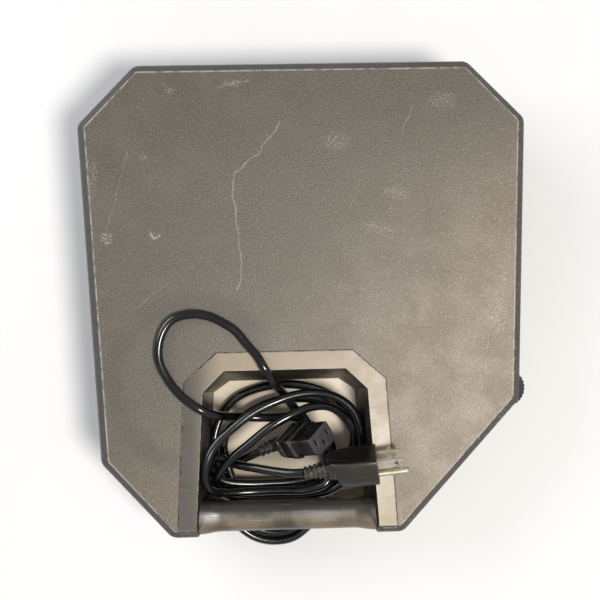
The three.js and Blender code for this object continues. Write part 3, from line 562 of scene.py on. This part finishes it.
def back_look():
    """Pebbled moulded plastic, scratched and scuffed, with a painted shadow round the lead's loop, painted
    glare towards the +X, -Y corner, and painted shade on the +Y end and on the bevels and sides.
    """
    look = Look("back_plastic")
    flat = look.vector("MULTIPLY", look.place, (1 / MM, 1 / MM, 0))
    wobble = look.add("ShaderNodeTexNoise")
    look.join(look.place, wobble.inputs["Vector"])
    wobble.inputs["Scale"].default_value = 90
    shaken = look.vector("SUBTRACT", wobble.outputs["Color"], (0.5, 0.5, 0.5))
    scaled = look.vector("MULTIPLY", shaken, (5, 5, 0))
    marks_at = look.vector("ADD", flat, scaled)

    pebbles = look.noise(1000, detail=2, roughness=0.6)
    cells = look.cells(1150)
    broad = look.noise(7, detail=5, roughness=0.6)
    blotch = look.noise(38, detail=4, roughness=0.65)

    broken = look.ramp(look.noise(420, detail=3, roughness=0.7), 0.38, 0.62)
    marks = 0.0
    for points, width, strength in SCRATCHES:
        for start, end in zip(points, points[1:]):
            line = look.math("MULTIPLY", look.on_line(start, end, width, marks_at), strength)
            marks = look.math("MAXIMUM", marks, line)
    marks = look.math("MULTIPLY", marks, look.ramp(broken, 0.0, 1.0, 0.45, 1.0))
    patches = 0.0
    for centre, half_x, half_y, strength in SCUFFS:
        spot = look.math("MULTIPLY", look.on_spot(centre, half_x, half_y, marks_at), strength)
        patches = look.math("MAXIMUM", patches, spot)
    flecks = look.ramp(look.noise(620, detail=4, roughness=0.75), 0.48, 0.62)
    patches = look.math("MULTIPLY", patches, flecks)
    hair = look.math("MAXIMUM", look.hairlines(32, 14, 1500, 0.70), look.hairlines(-58, 12, 1400, 0.71))
    hair = look.math("MULTIPLY", hair, 0.07)
    specks = look.ramp(look.cells(520), 0.30, 0.12)
    chosen = look.ramp(look.noise(300, detail=1), 0.54, 0.62)
    across = look.vector("DOT_PRODUCT", look.place, (0.75, -0.66, 0), output="Value")
    specks = look.math("MULTIPLY", specks, chosen)
    specks = look.math("MULTIPLY", specks, look.ramp(across, -0.05, 0.13, 0.12, 0.75))
    wear_and_sheen = look.ramp(look.noise(160, detail=4), 0.38, 0.55, 0.3, 1.0)
    worn_edge = look.math("MULTIPLY", look.rim(), wear_and_sheen)
    light = look.math("MAXIMUM", marks, patches)
    light = look.math("MAXIMUM", light, look.math("MAXIMUM", hair, specks))
    light = look.math("MAXIMUM", light, look.math("MULTIPLY", worn_edge, 0.5))

    # Painted shadow: a soft, broken dark ring round the lead's loop
    away = look.vector("SUBTRACT", flat, (*LOOP_SHADOW_CENTRE, 0))
    around = look.vector("LENGTH", away, output="Value")
    off_ring = look.math("ABSOLUTE", look.math("SUBTRACT", around, LOOP_SHADOW_R))
    ring = look.ramp(off_ring, 13.0, 2.0)
    loop_shadow = look.math("MULTIPLY", ring, look.ramp(look.noise(16, detail=3), 0.38, 0.62, 0.25, 0.75))

    # Painted glare: the colour turns paler towards the +X, -Y corner
    painted_glare = look.ramp(across, -0.05, 0.15)
    base = look.mix(look.ramp(broad, 0.3, 0.7), srgb(88, 83, 71), srgb(99, 91, 77))
    base = look.mix(look.math("MULTIPLY", painted_glare, 0.85), base, srgb(174, 153, 128))
    # Painted shade: the colour darkens towards the +Y end
    far_end_shade = look.math("MULTIPLY", look.along((0, 1, 0), 0.06, 0.16), 0.7)
    base = look.mix(far_end_shade, base, srgb(72, 69, 60))
    base = look.mix(look.ramp(blotch, 0.4, 0.75, 0.0, 0.3), base, srgb(126, 115, 97))
    base = look.mix(look.ramp(pebbles, 0.42, 0.64, 0.0, 0.5), base, srgb(150, 138, 117))
    base = look.mix(look.ramp(cells, 0.25, 0.55, 0.0, 0.5), base, srgb(64, 59, 52))
    # The loop's painted shadow darkens the colour here
    base = look.mix(look.math("MULTIPLY", loop_shadow, 0.55), base, srgb(66, 64, 57))
    # Painted shade: the bevels and sides are darker than the level back
    slopes = look.mix(look.ramp(blotch, 0.3, 0.7), srgb(43, 39, 34), srgb(56, 51, 45))
    base = look.mix(look.upward(), slopes, base)
    base = look.mix(light, base, srgb(214, 205, 190))
    base = look.mix(look.seam(), base, srgb(22, 20, 18))
    rough = look.ramp(blotch, 0.3, 0.7, 0.42, 0.54)
    rough = look.math("ADD", rough, look.math("MULTIPLY", light, 0.15))
    grain = look.bump(pebbles, 0.00035, 0.55)
    grain = look.bump(cells, 0.0002, 0.4, under=grain)
    grain = look.bump(look.math("SUBTRACT", 1.0, light), 0.0002, 0.5, under=grain)
    look.set(Base_Color=base, Roughness=rough, Normal=grain)
    look.shader.inputs["Specular IOR Level"].default_value = 0.8
    return look.material


def moulded_look(name, dark, light, rough, grain_scale, grain_depth, wear=None, wear_share=0.5,
                 scratch_share=0.1, slopes=None, shine=0.5, tint=None):
    """Moulded plastic or rubber: a fine grain, patchy sheen, hairline scratches and rubbed edges."""
    look = Look(name)
    grain = look.noise(grain_scale, detail=2, roughness=0.6)
    patch = look.noise(35, detail=4, roughness=0.6)
    broad = look.noise(9, detail=3)
    colour = look.mix(look.ramp(broad, 0.35, 0.65), dark, light)
    colour = look.mix(look.ramp(grain, 0.4, 0.75, 0.0, 0.25), colour, light)
    if tint:
        colour = tint(look, colour)
    # Painted shade: sloped and side faces take the slopes colour
    if slopes:
        colour = look.mix(look.upward(), slopes, colour)
    wear = wear or tuple(min(1, part * 2.2 + 0.06) for part in light[:3]) + (1,)
    wear_and_sheen = look.math("MULTIPLY", look.edges(0.0009), look.ramp(look.noise(230, detail=4), 0.40, 0.62))
    one_way = look.hairlines(20, 20, 1700, 0.69)
    scratches = look.math("MAXIMUM", one_way, look.hairlines(-65, 18, 1500, 0.70))
    dust = look.ramp(look.cells(520), 0.10, 0.04)
    dust = look.math("MULTIPLY", dust, look.ramp(look.noise(200, detail=1), 0.60, 0.66))
    marks = look.math("MAXIMUM", look.math("MULTIPLY", wear_and_sheen, wear_share),
                      look.math("MULTIPLY", scratches, scratch_share))
    marks = look.math("MAXIMUM", marks, look.math("MULTIPLY", dust, 0.35))
    colour = look.mix(marks, colour, wear)
    roughness = look.ramp(patch, 0.3, 0.7, rough - 0.07, rough + 0.09)
    roughness = look.math("ADD", roughness, look.math("MULTIPLY", marks, 0.12))
    normal = look.bump(grain, grain_depth, 0.6)
    normal = look.bump(look.math("SUBTRACT", 1.0, scratches), 0.00006, 0.4, under=normal)
    look.set(Base_Color=colour, Roughness=roughness, Normal=normal)
    look.shader.inputs["Specular IOR Level"].default_value = shine
    return look.material


def insert_tint(look, colour):
    """Painted shade down the left flange, a paler pocket floor kept dark near the bar as the bar's painted
    shadow, and dark in the joint line.
    """
    # Painted shade: darker towards the left flange
    colour = look.mix(look.along((1, 0, 0), -0.058, -0.086), colour, srgb(72, 67, 58))
    # A paler pocket floor that stays dark near the bar, as the bar's painted shadow
    clear_of_bar_shadow = look.along((0, 1, 0), -0.135, -0.100)
    floor = look.math("MULTIPLY", look.along((0, 0, 1), 0.046, 0.040), clear_of_bar_shadow)
    colour = look.mix(floor, colour, srgb(232, 216, 190))
    return look.mix(look.seam(), colour, srgb(22, 20, 18))


def grip_tint(look, colour):
    """A painted highlight in a pale broken band along the bar, and painted shade where it flares into the
    pocket's walls.
    """
    # Painted highlight: a pale broken band low on the bar's outer side
    outer_half = look.along((0, 1, 0), -0.154, -0.160)
    wear_and_sheen = look.math("MULTIPLY", outer_half, look.along((0, 1, 0), -0.170, -0.165))
    painted_highlight = look.math("MULTIPLY", wear_and_sheen, look.ramp(look.noise(30, detail=4), 0.35, 0.6, 0.2, 0.8))
    colour = look.mix(painted_highlight, colour, srgb(134, 121, 102))
    # Painted shade: darker where the bar flares into the pocket's walls
    left_end = look.along((1, -0.55, 0), 0.0105, 0.0095)
    shaded_ends = look.math("MAXIMUM", left_end, look.along((-1, -0.55, 0), 0.0445, 0.0435))
    return look.mix(look.math("MULTIPLY", shaded_ends, 0.7), colour, srgb(38, 35, 31))


def plug_tint(look, colour):
    """A painted highlight: paler where the moulding faces up."""
    normal = look.add("ShaderNodeNewGeometry").outputs["Normal"]
    up = look.vector("DOT_PRODUCT", normal, (0, 0, 1), output="Value")
    # Painted highlight on the faces that look up
    return look.mix(look.ramp(up, 0.55, 0.98, 0.0, 0.8), colour, srgb(66, 62, 55))


def connector_tint(look, colour):
    """Painted highlights: paler where the moulding faces up, and on the end face with its slots."""
    matrix = lying(*CONNECTOR_LIES)
    heading = matrix.col[0].to_3d()
    start = heading.dot(matrix.translation)
    # Painted highlight: the end face is paler than the sides
    face = look.along(tuple(heading), start + 39.3 * MM, start + 39.7 * MM)
    return look.mix(face, plug_tint(look, colour), srgb(74, 70, 74))


def metal_look(name, dark, light, rough):
    """Plated metal: brushed one way, tarnished in patches, rubbed bright on its edges."""
    look = Look(name)
    brushed = look.noise(1.0, detail=3, at=look.stretched(12, (90, 2600, 2600)))
    tarnish = look.noise(240, detail=4, roughness=0.65)
    colour = look.mix(look.ramp(tarnish, 0.35, 0.7), dark, light)
    bright = tuple(min(1, part * 1.25 + 0.05) for part in light[:3]) + (1,)
    colour = look.mix(look.math("MULTIPLY", look.edges(0.0004), 0.6), colour, bright)
    roughness = look.ramp(brushed, 0.35, 0.65, rough, rough + 0.16)
    look.set(Base_Color=colour, Roughness=roughness, Normal=look.bump(brushed, 0.00003, 0.5))
    look.shader.inputs["Metallic"].default_value = 1
    return look.material


def window_look():
    """Smoked acrylic: glossy, nearly black, with dust and fine wipe marks."""
    look = Look("smoked_window")
    wipe = look.hairlines(8, 25, 2200, 0.66)
    dust = look.ramp(look.noise(900, detail=3, roughness=0.7), 0.62, 0.72)
    colour = look.mix(look.math("MULTIPLY", dust, 0.25), srgb(14, 18, 20), srgb(70, 74, 76))
    roughness = look.ramp(look.noise(60, detail=4), 0.35, 0.7, 0.06, 0.18)
    roughness = look.math("ADD", roughness, look.math("MULTIPLY", wipe, 0.2))
    look.set(Base_Color=colour, Roughness=roughness, Normal=look.bump(wipe, 0.00002, 0.3))
    look.shader.inputs["Coat Weight"].default_value = 0.5
    return look.material


def board_look():
    """Green solder mask over copper tracks, with flecks of tin."""
    look = Look("circuit_board")
    tracks = look.noise(1.0, detail=1, at=look.stretched(0, (160, 900, 300)))
    crossing = look.noise(1.0, detail=1, at=look.stretched(90, (160, 900, 300)))
    copper = look.math("MAXIMUM", look.ramp(tracks, 0.55, 0.57), look.ramp(crossing, 0.58, 0.60))
    colour = look.mix(copper, srgb(22, 74, 44), srgb(40, 104, 62))
    pads = look.ramp(look.cells(260), 0.16, 0.12)
    colour = look.mix(look.math("MULTIPLY", pads, 0.6), colour, srgb(178, 182, 180))
    roughness = look.ramp(look.noise(400), 0.3, 0.7, 0.34, 0.5)
    look.set(Base_Color=colour, Roughness=roughness, Normal=look.bump(copper, 0.00004, 0.5))
    return look.material


def jacket_look():
    """Shiny black PVC over three twisted cores, handled and lightly dusty."""
    look = Look("cord_jacket")
    dull = look.noise(55, detail=4, roughness=0.6)
    fine = look.noise(1500, detail=2)
    dust = look.ramp(look.cells(700), 0.14, 0.06)
    dust = look.math("MULTIPLY", dust, look.ramp(look.noise(260), 0.58, 0.64))
    colour = look.mix(look.ramp(dull, 0.35, 0.7), srgb(9, 9, 10), srgb(19, 19, 21))
    colour = look.mix(look.math("MULTIPLY", dust, 0.3), colour, srgb(150, 150, 150))
    roughness = look.ramp(dull, 0.3, 0.7, 0.15, 0.26)
    normal = look.bump(look.noise(170, detail=2), 0.0003, 0.35)
    normal = look.bump(fine, 0.00003, 0.3, under=normal)
    look.set(Base_Color=colour, Roughness=roughness, Normal=normal)
    look.shader.inputs["Coat Weight"].default_value = 0.6
    look.shader.inputs["Coat Roughness"].default_value = 0.14
    return look.material


LOOKS = {
    "shell_back": back_look(),
    # The insert's slopes colour paints shade on the pocket's walls
    "insert": moulded_look("insert_plastic", srgb(150, 135, 111), srgb(168, 152, 126), 0.40, 1300, 0.00008,
                           srgb(232, 218, 196), 0.7, 0.12, srgb(36, 34, 29), 0.8, insert_tint),
    "grip": moulded_look("grip_plastic", srgb(44, 40, 35), srgb(60, 55, 47), 0.30, 1600, 0.00004,
                         srgb(205, 192, 166), 0.5, 0.2, shine=0.8, tint=grip_tint),
    "bezel": moulded_look("bezel_plastic", srgb(40, 40, 42), srgb(52, 51, 52), 0.55, 1000, 0.00018),
    "pad_rubber": moulded_look("pad_rubber", srgb(26, 26, 28), srgb(37, 37, 39), 0.8, 1400, 0.0002),
    "button_rubber": moulded_look("button_rubber", srgb(30, 30, 32), srgb(42, 42, 44), 0.7, 1800, 0.0001),
    "gloss_black": moulded_look("gloss_black", srgb(15, 15, 17), srgb(25, 25, 27), 0.27, 1500, 0.00003),
    "plug_moulding": moulded_look("plug_moulding", srgb(8, 8, 8), srgb(16, 16, 16), 0.32, 1500, 0.00008,
                                  srgb(176, 172, 162), 0.85, 0.12, shine=0.45, tint=plug_tint),
    "connector_moulding": moulded_look("connector_moulding", srgb(8, 8, 8), srgb(16, 16, 16), 0.32, 1500,
                                       0.00008, srgb(176, 172, 166), 0.85, 0.12, shine=0.45,
                                       tint=connector_tint),
    "cord_jacket": jacket_look(),
    "smoked_window": window_look(),
    "circuit_board": board_look(),
    "steel": metal_look("zinc_steel", srgb(150, 152, 154), srgb(196, 198, 200), 0.28),
    "brass_pin": metal_look("brass_pin", srgb(214, 204, 176), srgb(244, 236, 214), 0.34),
    "plug_blade": metal_look("plated_blade", srgb(214, 205, 184), srgb(248, 242, 228), 0.34),
}

# ---------------------------------------------------------------- CAD nodes: looks and eased edges

EDGE_ROUND = {
    "rear_shell": 1.0, "front_shell": 0.8, "handle_insert": 1.1, "handle_bar": 1.2, "volume_wheel": 0.4,
    "value_dial": 0.3, "jack_panel": 0.3, "plug_blade_line": 0.25, "plug_blade_neutral": 0.25,
}
EDGE_ROUND_PAD = 0.8
EDGE_ROUND_OTHER = 0.25
SMOOTH_ANGLE = math.radians(32)


def smooth_group():
    """Node group that shades faces smoothly, with sharp edges above an angle."""
    group = bpy.data.node_groups.new("smooth_by_angle", "GeometryNodeTree")
    group.interface.new_socket("Geometry", in_out="INPUT", socket_type="NodeSocketGeometry")
    group.interface.new_socket("Geometry", in_out="OUTPUT", socket_type="NodeSocketGeometry")
    start = group.nodes.new("NodeGroupInput")
    end = group.nodes.new("NodeGroupOutput")
    faces = group.nodes.new("GeometryNodeSetShadeSmooth")
    faces.domain = "FACE"
    edges = group.nodes.new("GeometryNodeSetShadeSmooth")
    edges.domain = "EDGE"
    edges.inputs["Shade Smooth"].default_value = False
    angle = group.nodes.new("GeometryNodeInputMeshEdgeAngle")
    compare = group.nodes.new("FunctionNodeCompare")
    compare.operation = "GREATER_THAN"
    compare.inputs[1].default_value = SMOOTH_ANGLE
    group.links.new(start.outputs[0], faces.inputs["Geometry"])
    group.links.new(faces.outputs[0], edges.inputs["Geometry"])
    group.links.new(angle.outputs["Unsigned Angle"], compare.inputs[0])
    group.links.new(compare.outputs[0], edges.inputs["Selection"])
    group.links.new(edges.outputs[0], end.inputs[0])
    return group


SMOOTH = smooth_group()


def ease_edges(obj, width, segments=3):
    """Merges flat triangles, rounds the edges and shades the result smoothly."""
    flatten = obj.modifiers.new("flatten", "DECIMATE")
    flatten.decimate_type = "DISSOLVE"
    flatten.angle_limit = math.radians(0.5)
    rounding = obj.modifiers.new("rounding", "BEVEL")
    rounding.width = width
    rounding.segments = segments
    rounding.limit_method = "ANGLE"
    rounding.angle_limit = math.radians(28)
    rounding.use_clamp_overlap = True
    shading = obj.modifiers.new("shading", "NODES")
    shading.node_group = SMOOTH


def dress_nodes():
    """Gives every CAD node its look, by the slot that its material is named after, and eased edges."""
    for name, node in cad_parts.items():
        for slot in node.material_slots:
            slot.material = LOOKS[slot.material.name.split(".")[0]]
        width = EDGE_ROUND_PAD if name.startswith("pad_") else EDGE_ROUND.get(name, EDGE_ROUND_OTHER)
        ease_edges(node, width * MM)


# ---------------------------------------------------------------- lofted pieces on the lead

RING_POINTS = 64


def relief_rings(section, length, small_r, big_r, ribs):
    """Rounded ribs along a tapered strain relief, its small end at x = 0."""
    rings = [section(0, small_r * 0.8)]
    pitch = length / ribs
    for rib in range(ribs):
        radius = small_r + (big_r - small_r) * rib / (ribs - 1)
        start = rib * pitch
        for along, share in ((0.02, 0.90), (0.10, 0.98), (0.30, 1.0), (0.50, 0.98), (0.58, 0.90),
                             (0.62, 0.80), (0.80, 0.78), (0.97, 0.80)):
            rings.append(section(start + along * pitch, radius * share))
    return rings


def plug_section(x, flat_half, flat_deep=None, round_half=None, round_deep=None):
    """Across the plug: squared towards -Z, half round towards +Z, with a ledge between."""
    flat_deep = flat_deep or flat_half
    round_half = round_half or flat_half
    round_deep = round_deep or flat_half
    squared = 1.0 if flat_half == flat_deep == round_half else 0.2
    points = []
    for step in range(RING_POINTS):
        angle = 2 * math.pi * (step + 0.5) / RING_POINTS
        across, up = math.cos(angle), math.sin(angle)
        if up > 0:
            points.append(Vector((x, round_half * across, round_deep * up)))
            continue
        side = math.copysign(abs(across) ** squared, across)
        points.append(Vector((x, flat_half * side, -flat_deep * abs(up) ** squared)))
    return points


def keyed_section(x, half_w, half_h=None):
    """Across the connector: a rounded oblong whose two +Z corners are cut away."""
    half_h = half_h or half_w
    if half_h == half_w:
        return plug_section(x, half_w)
    cut = 0.55 * half_h
    corners = [(half_w, -half_h), (half_w, half_h - cut), (half_w - cut, half_h),
               (-half_w + cut, half_h), (-half_w, half_h - cut), (-half_w, -half_h)]
    reach = 0.16 * half_h
    rounded = []
    for i, corner in enumerate(corners):
        here = Vector(corner)
        before = (Vector(corners[i - 1]) - here).normalized() * reach
        after = (Vector(corners[(i + 1) % len(corners)]) - here).normalized() * reach
        for t in (0.0, 0.25, 0.5, 0.75, 1.0):
            point = here + before * (1 - t) ** 2 + after * t ** 2
            rounded.append(point)
    # Read off at even angles, so that every ring has the same points
    points = []
    for step in range(RING_POINTS):
        angle = 2 * math.pi * (step + 0.5) / RING_POINTS
        heading = Vector((math.cos(angle), math.sin(angle)))
        points.append(Vector((x, *(heading * reach_to_outline(rounded, heading)))))
    return points


def reach_to_outline(outline, heading):
    """How far a ray from the middle goes before it meets the outline."""
    best = 0.0
    for i in range(len(outline)):
        a, b = outline[i - 1], outline[i]
        side = b - a
        cross = heading.x * side.y - heading.y * side.x
        if abs(cross) < 1e-9:
            continue
        t = (a.x * side.y - a.y * side.x) / cross
        u = (a.x * heading.y - a.y * heading.x) / cross
        if t > 0 and -1e-6 <= u <= 1 + 1e-6:
            best = max(best, t)
    return best


def laid(ring, matrix):
    return [matrix @ (point * MM) for point in ring]


def bent(ring, length):
    """A ring of the connector's relief, laid along the bend that leads into the connector."""
    share = ring[0].x / length
    start = lying(*RELIEF_LIES)
    end = lying(*CONNECTOR_LIES)
    reach = 0.4 * length * MM
    leaving = start.translation + start.col[0].to_3d() * reach
    arriving = end.translation - end.col[0].to_3d() * reach
    left = 1 - share
    place = (left ** 3 * start.translation + 3 * left ** 2 * share * leaving
             + 3 * left * share ** 2 * arriving + share ** 3 * end.translation)
    turn = start.to_quaternion().slerp(end.to_quaternion(), share)
    return [place + turn @ Vector((0, point.y, point.z)) * MM for point in ring]


def loft(name, rings):
    """A closed mesh through rings of equal point count."""
    mesh = bmesh.new()
    rows = [[mesh.verts.new(point) for point in ring] for ring in rings]
    for row, following in zip(rows, rows[1:]):
        for i in range(len(row)):
            j = (i + 1) % len(row)
            mesh.faces.new((row[i], row[j], following[j], following[i]))
    mesh.faces.new(rows[0][::-1])
    mesh.faces.new(rows[-1])
    bmesh.ops.recalc_face_normals(mesh, faces=mesh.faces)
    return add_piece(name, mesh)


def add_piece(name, mesh):
    data = bpy.data.meshes.new(name)
    mesh.to_mesh(data)
    mesh.free()
    for face in data.polygons:
        face.use_smooth = True
    obj = bpy.data.objects.new(name, data)
    bpy.context.collection.objects.link(obj)
    shading = obj.modifiers.new("shading", "NODES")
    shading.node_group = SMOOTH
    return obj


def box_mesh(boxes, matrix):
    """One mesh of separate boxes, given in mm as low and high corners."""
    mesh = bmesh.new()
    for low, high in boxes:
        size = Vector(high) - Vector(low)
        middle = (Vector(high) + Vector(low)) / 2
        place = Matrix.Translation(middle * MM) @ Matrix.Diagonal((*(size * MM), 1))
        bmesh.ops.create_cube(mesh, size=1, matrix=matrix @ place)
    return mesh


def cut_boxes(obj, boxes, matrix):
    """Cuts boxes out of a piece and keeps the result as its mesh."""
    cutter = add_piece("cutter", box_mesh(boxes, matrix))
    cutter.modifiers.clear()
    boolean = obj.modifiers.new("cut", "BOOLEAN")
    boolean.operation = "DIFFERENCE"
    boolean.solver = "EXACT"
    boolean.object = cutter
    obj.modifiers.remove(obj.modifiers["shading"])
    bpy.context.view_layer.update()
    result = bpy.data.meshes.new_from_object(obj.evaluated_get(bpy.context.evaluated_depsgraph_get()))
    obj.modifiers.remove(boolean)
    obj.data = result
    bpy.data.objects.remove(cutter)
    rounding = obj.modifiers.new("rounding", "BEVEL")
    rounding.width = 0.25 * MM
    rounding.segments = 2
    rounding.limit_method = "ANGLE"
    rounding.angle_limit = math.radians(40)
    shading = obj.modifiers.new("shading", "NODES")
    shading.node_group = SMOOTH


def finish_piece(obj, slot, *nodes, look=None):
    obj.data.materials.clear()
    obj.data.materials.append(LOOKS[look or slot])
    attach(obj, BODY)
    if nodes:
        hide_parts(*nodes)
    return obj


# Along the plug, in mm: the place, half width and depth of the flat half, then of the round half
PLUG_STATIONS = [
    (17.2, 6.4, 5.4, 6.0, 6.0), (17.6, 9.0, 8.4, 6.6, 6.8), (20.0, 10.0, 9.8, 7.0, 7.4),
    (22.4, 10.7, 10, 7.4, 8.0), (23.0, 10.9, 10, 8.6, 10.6), (24.4, 11.2, 10, 10.0, 13.0),
    (27.0, 11.8, 10, 11.0, 14.4), (31.0, 12.6, 10, 11.6, 15.0), (36.0, 13.0, 10, 11.8, 15.0),
    (43.0, 13.0, 10, 11.8, 15.0), (51.2, 13.0, 10, 11.8, 15.0), (51.8, 12.8, 9.8, 11.6, 14.8),
    (52.0, 12.5, 9.5, 11.3, 14.5),
]


def add_plug():
    """Moulded mains plug: ribbed relief, a flat half and a half-round half with a ledge between them."""
    rings = relief_rings(plug_section, 17, 4.4, 6.2, 5)
    rings += [plug_section(*station) for station in PLUG_STATIONS]
    rings = [laid(ring, lying(*PLUG_LIES)) for ring in rings]
    return finish_piece(loft("mains_plug", rings), "plug_moulding", "plug_body")


# The connector, in mm: its relief's length, the middles of its slots across it, then the place along it,
# half width and half height of each section
RELIEF_LONG = 20.8
SLOTS = [(-7, -2), (7, -2), (0, 2)]
CONNECTOR_STATIONS = [
    (0.2, 6.6, 5.6), (0.8, 8.6, 6.6), (3.0, 11.2, 8.0), (5.5, 12.4, 9.2), (7.4, 12.6, 9.4),
    (8.0, 12.2, 9.0), (8.4, 11.0, 8.0), (10.0, 11.0, 8.0), (10.4, 12.4, 9.0), (12.0, 13.3, 9.8),
    (13.5, 13.5, 10), (18.8, 13.5, 10), (19.6, 13.3, 9.8), (20.0, 12.8, 9.2), (20.2, 12, 8.2),
    (30.0, 12, 8.2), (39.2, 12, 8.2), (39.8, 11.8, 8.0), (40.0, 11.4, 7.6),
]


def add_connector():
    """Moulded appliance connector: ribbed relief, a stepped grip and a keyed nose with three slots."""
    matrix = lying(*CONNECTOR_LIES)
    rings = [bent(ring, RELIEF_LONG) for ring in relief_rings(keyed_section, RELIEF_LONG, 4.4, 5.6, 5)]
    rings += [laid(keyed_section(*station), matrix) for station in CONNECTOR_STATIONS]
    body = loft("lead_connector", rings)
    cut_boxes(body, [((26, y - 1.1, z - 2.7), (42, y + 1.1, z + 2.7)) for y, z in SLOTS], matrix)
    finish_piece(body, "plug_moulding", "connector_body", look="connector_moulding")
    grips = [((26.4, y + side * 0.8 - 0.2, z - 2), (36, y + side * 0.8 + 0.2, z + 2))
             for y, z in SLOTS for side in (-1, 1)]
    contacts = finish_piece(add_piece("connector_contacts", box_mesh(grips, matrix)), "brass_pin")
    return body, contacts


# Where the bar's rings stand, as shares of the way to the walls, and how it flares past the last
# straight one
BAR_STRAIGHT = 0.76
BAR_SHARES = (-1, -0.94, -0.88, -0.82, -0.76, -0.4, 0, 0.4, 0.76, 0.82, 0.88, 0.94, 1)
BAR_FLARE_DEEP = 0.0017
BAR_FLARE_TALL = 0.0023
BAR_SQUARENESS = 0.8
BAR_GAP = 0.00035


def bar_ring(share):
    """Across the handle bar at a share of the way from its middle to the pocket's walls."""
    flare = min(max((abs(share) - BAR_STRAIGHT) / (1 - BAR_STRAIGHT), 0), 1)
    flare = flare * flare * (3 - 2 * flare)
    deep = BAR_HALF_DEEP + BAR_FLARE_DEEP * flare
    tall = BAR_HALF_TALL + BAR_FLARE_TALL * flare
    points = []
    for step in range(RING_POINTS):
        angle = 2 * math.pi * (step + 0.5) / RING_POINTS
        across, up = math.cos(angle), math.sin(angle)
        y = BAR_Y + deep * math.copysign(abs(across) ** BAR_SQUARENESS, across)
        z = BAR_Z + tall * math.copysign(abs(up) ** BAR_SQUARENESS, up)
        x = HANDLE_X + share * (pocket_half(y, z) - BAR_GAP)
        points.append(Vector((x, y, z)))
    return points


def add_bar():
    """The handle bar, a flattened round that flares into the pocket's walls."""
    rings = [bar_ring(share) for share in BAR_SHARES]
    return finish_piece(loft("grip_bar", rings), "grip", "handle_bar")


# ---------------------------------------------------------------- floor and light

def add_floor():
    mesh = bmesh.new()
    bmesh.ops.create_grid(mesh, x_segments=2, y_segments=2, size=6)
    data = bpy.data.meshes.new("floor")
    mesh.to_mesh(data)
    mesh.free()
    look = Look("floor_paper")
    cloudy = look.ramp(look.noise(3, detail=4), 0.3, 0.7)
    look.set(Base_Color=look.mix(cloudy, (0.93, 0.93, 0.93, 1), (0.96, 0.96, 0.96, 1)))
    look.shader.inputs["Roughness"].default_value = 0.9
    look.shader.inputs["Specular IOR Level"].default_value = 0.1
    data.materials.append(look.material)
    floor = bpy.data.objects.new("floor", data)
    floor.location.z = CAD_BOX[0].z - 0.0003
    bpy.context.collection.objects.link(floor)


def add_area_light(name, place, target, size, power, colour=(1, 1, 1)):
    light = bpy.data.lights.new(name, "AREA")
    light.shape = "DISK"
    light.size = size
    light.energy = power
    light.color = colour
    lamp = bpy.data.objects.new(name, light)
    lamp.location = place
    lamp.rotation_euler = (Vector(target) - Vector(place)).to_track_quat("-Z", "Y").to_euler()
    bpy.context.collection.objects.link(lamp)


def add_lights():
    world = bpy.data.worlds.new("studio")
    world.use_nodes = True
    background = world.node_tree.nodes["Background"]
    background.inputs["Color"].default_value = (0.97, 0.98, 1.0, 1)
    background.inputs["Strength"].default_value = 0.32
    bpy.context.scene.world = world
    add_area_light("window", (0.42, -0.30, 1.5), (0.05, -0.05, 0.08), 0.42, 17, (1.0, 0.96, 0.91))
    add_area_light("fill", (-1.2, 0.75, 0.85), (0, 0, 0.05), 1.2, 12, (0.93, 0.96, 1.0))
    bpy.context.scene.view_settings.view_transform = "Standard"


# ---------------------------------------------------------------- the whole

add_camera()
lead, lead_line = add_lead()
dress_nodes()
add_bar()
plug = add_plug()
connector, contacts = add_connector()
add_floor()
add_lights()

bpy.context.view_layer.update()
